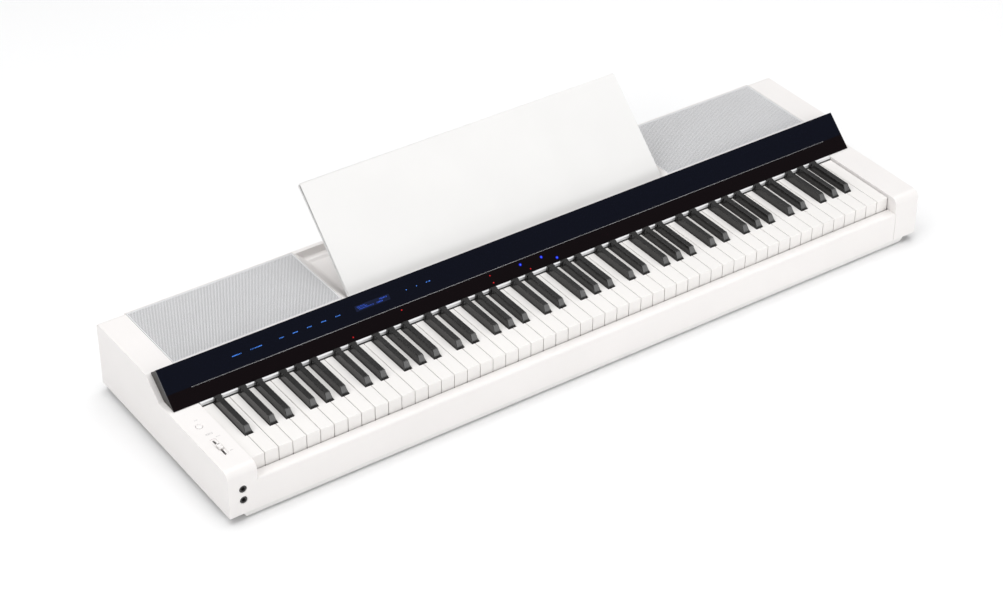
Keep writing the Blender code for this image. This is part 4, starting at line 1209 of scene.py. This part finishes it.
def ring_solid(section, centre, steps=40):
    """A closed (radius, height) section turned about a line along y."""
    data = bmesh.new()
    angles = [math.tau * step / steps for step in range(steps)]
    loops = [[data.verts.new((r * math.cos(a), h, r * math.sin(a))) for a in angles] for r, h in section]
    for ring, after in zip(loops, loops[1:] + loops[:1]):
        for step in range(steps):
            on = (step + 1) % steps
            data.faces.new((ring[step], ring[on], after[on], after[step]))
    bmesh.ops.translate(data, verts=data.verts, vec=centre)
    bmesh.ops.recalc_face_normals(data, faces=data.faces)
    return data


# ---------------------------------------------------------------- music rest
def build_music_rest():
    at = sloped(REST_FOOT, REST_LEAN)
    flat = rounded_rectangle((REST_LOW.x, 0.0), (REST_HIGH.x, REST_LENGTH), 0.0022, 6)
    data = slab(flat, -REST_THICK, 0.0)
    round_edges(data, level_along(2), 0.0011, 4)
    turn = Matrix.Rotation(REST_LEAN, 4, "X")
    bmesh.ops.transform(data, matrix=Matrix.Translation((0.0, *REST_FOOT)) @ turn, verts=data.verts)
    s = STAY_ALONG
    lugs, holes = [], []
    outline = rounded([(*at(s - 0.008, 0.0050), 0.0), (*at(s + 0.008, 0.0050), 0.0),
                       (*at(s + 0.0045, 0.0135), 0.003), (*at(s - 0.0045, 0.0135), 0.003)], 5)
    for side in (-1, 1):
        for ear in (-1, 1):
            low, high = sorted((side * STAY_X + ear * 0.0123, side * STAY_X + ear * 0.0163))
            lugs.append(prism(outline, low, high))
        hole = [(0.0, -0.020), (0.0019, -0.020), (0.0019, 0.020), (0.0, 0.020)]
        holes.append(turned(hole, (side * STAY_X, *at(s, STAY_DEPTH)), (1, 0, 0), 24))
    data = carved(carved(data, [joined(lugs)], "UNION"), holes)
    piece("music_rest_plate", data, REST_FINISH, body="music_rest", replaced=("music_rest",))


def build_stays():
    """Steel stay: barrel and stub pins at the hinge, a long slot through the bar, rubber sleeve on the foot.
    """
    pivot = sloped(REST_FOOT, REST_LEAN)(STAY_ALONG, STAY_DEPTH)
    lean = math.atan2(pivot[1] - STAY_FOOT[1], pivot[0] - STAY_FOOT[0])
    at = sloped(STAY_FOOT, lean)
    length = math.hypot(pivot[0] - STAY_FOOT[0], pivot[1] - STAY_FOOT[1])
    for name, side in (("left_rest_stay", -1), ("right_rest_stay", 1)):
        x = side * STAY_X
        bar = prism(on_slope(at, 0.0, length, -0.0018, 0.0018), x - 0.010, x + 0.010)
        round_edges(bar, sharp, 0.0006, 2)
        window = prism(on_slope(at, 0.018, length - 0.018, -0.005, 0.005), x - 0.004, x + 0.004)
        bar = carved(bar, [window])
        barrel = [(0.0, -0.0158), (0.0013, -0.0158), (0.0016, -0.0155), (0.0016, -0.012), (0.0032, -0.0118),
                  (0.0032, 0.0118), (0.0016, 0.012), (0.0016, 0.0155), (0.0013, 0.0158), (0.0, 0.0158)]
        data = carved(bar, [turned(barrel, (x, *pivot), (1, 0, 0), 32)], "UNION")
        piece(name + "_bar", data, STEEL, body=name, replaced=(name,))
        sleeve = [(0.0, -0.013), (0.0026, -0.013), (0.0032, -0.0122), (0.0032, 0.0122), (0.0026, 0.013),
                  (0.0, 0.013)]
        piece(name + "_sleeve", turned(sleeve, (x, *STAY_FOOT), (1, 0, 0), 32), RUBBER, body=name)


# ---------------------------------------------------------------- inside the case
def finish_inner_nodes():
    """Inner pieces keep their CAD shape and get their own finish."""
    finishes = {"key_chassis": DARK, "key_stop_felt": FELT, "hammer_bank": STEEL,
                "key_contact_board": CIRCUIT, "main_board": CIRCUIT, "amplifier_board": CIRCUIT,
                "touch_sensor_board": CIRCUIT, "display_module": DISPLAY}
    for node, material in finishes.items():
        for material_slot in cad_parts[node].material_slots:
            material_slot.material = material


# ---------------------------------------------------------------- studio
def aimed(obj, place, target):
    obj.location = place
    obj.rotation_euler = (Vector(target) - Vector(place)).to_track_quat("-Z", "Y").to_euler()


def soft_box(name, place, target, size, power):
    light = bpy.data.lights.new(name, "AREA")
    light.shape = "RECTANGLE"
    light.size, light.size_y = size
    light.energy = power
    obj = bpy.data.objects.new(name, light)
    bpy.context.scene.collection.objects.link(obj)
    aimed(obj, place, target)


def build_studio():
    camera_data = bpy.data.cameras.new("camera")
    camera_data.lens = 87.81
    camera_data.sensor_width = 36.0
    camera = bpy.data.objects.new("camera", camera_data)
    camera.location = (-1.8823, -2.6412, 2.3024)
    camera.rotation_euler = [math.radians(angle) for angle in (54.905, -0.132, -34.672)]
    bpy.context.scene.collection.objects.link(camera)
    bpy.context.scene.camera = camera
    floor_mesh = bmesh.new()
    bmesh.ops.create_grid(floor_mesh, x_segments=4, y_segments=4, size=12.0)
    floor = scratch_object("floor", floor_mesh)
    floor.data.materials.append(floor_finish())
    middle = (0.0, 0.0, 0.08)
    soft_box("top_box", (0.4, 0.65, 3.0), (0.4, 0.65, 0.0), (6.4, 3.7), 142)
    soft_box("left_box", (-2.8, -0.5, 1.7), middle, (2.6, 1.8), 29)
    soft_box("rear_left_box", (-2.6, 2.0, 0.9), middle, (1.6, 1.2), 7)
    soft_box("front_box", (0.9, -2.9, 1.05), middle, (3.6, 1.5), 52)
    world = bpy.data.worlds.new("studio_air")
    world.use_nodes = True
    background = world.node_tree.nodes["Background"]
    background.inputs["Color"].default_value = (0.96, 0.97, 1.0, 1.0)
    background.inputs["Strength"].default_value = 0.12
    bpy.context.scene.world = world
    bpy.context.scene.view_settings.view_transform = "Standard"


# ---------------------------------------------------------------- build
build_studio()
screws, ticks = fastener_tree(), tick_tree()
screw, bar = screw_object(), bar_object()
build_end_blocks()
build_front_rail()
build_top_cover()
build_grilles()
build_speakers()
build_rear_panel(screws, screw)
build_underside(screws, screw)
build_panel()
build_key_strip()
build_panel_lights(ticks, bar)
build_keys()
build_controls(ticks, bar)
build_headphone_jacks()
build_rear_sockets()
build_music_rest()
build_stays()
finish_inner_nodes()
for helper in (screw, bar):
    bpy.data.objects.remove(helper, do_unlink=True)
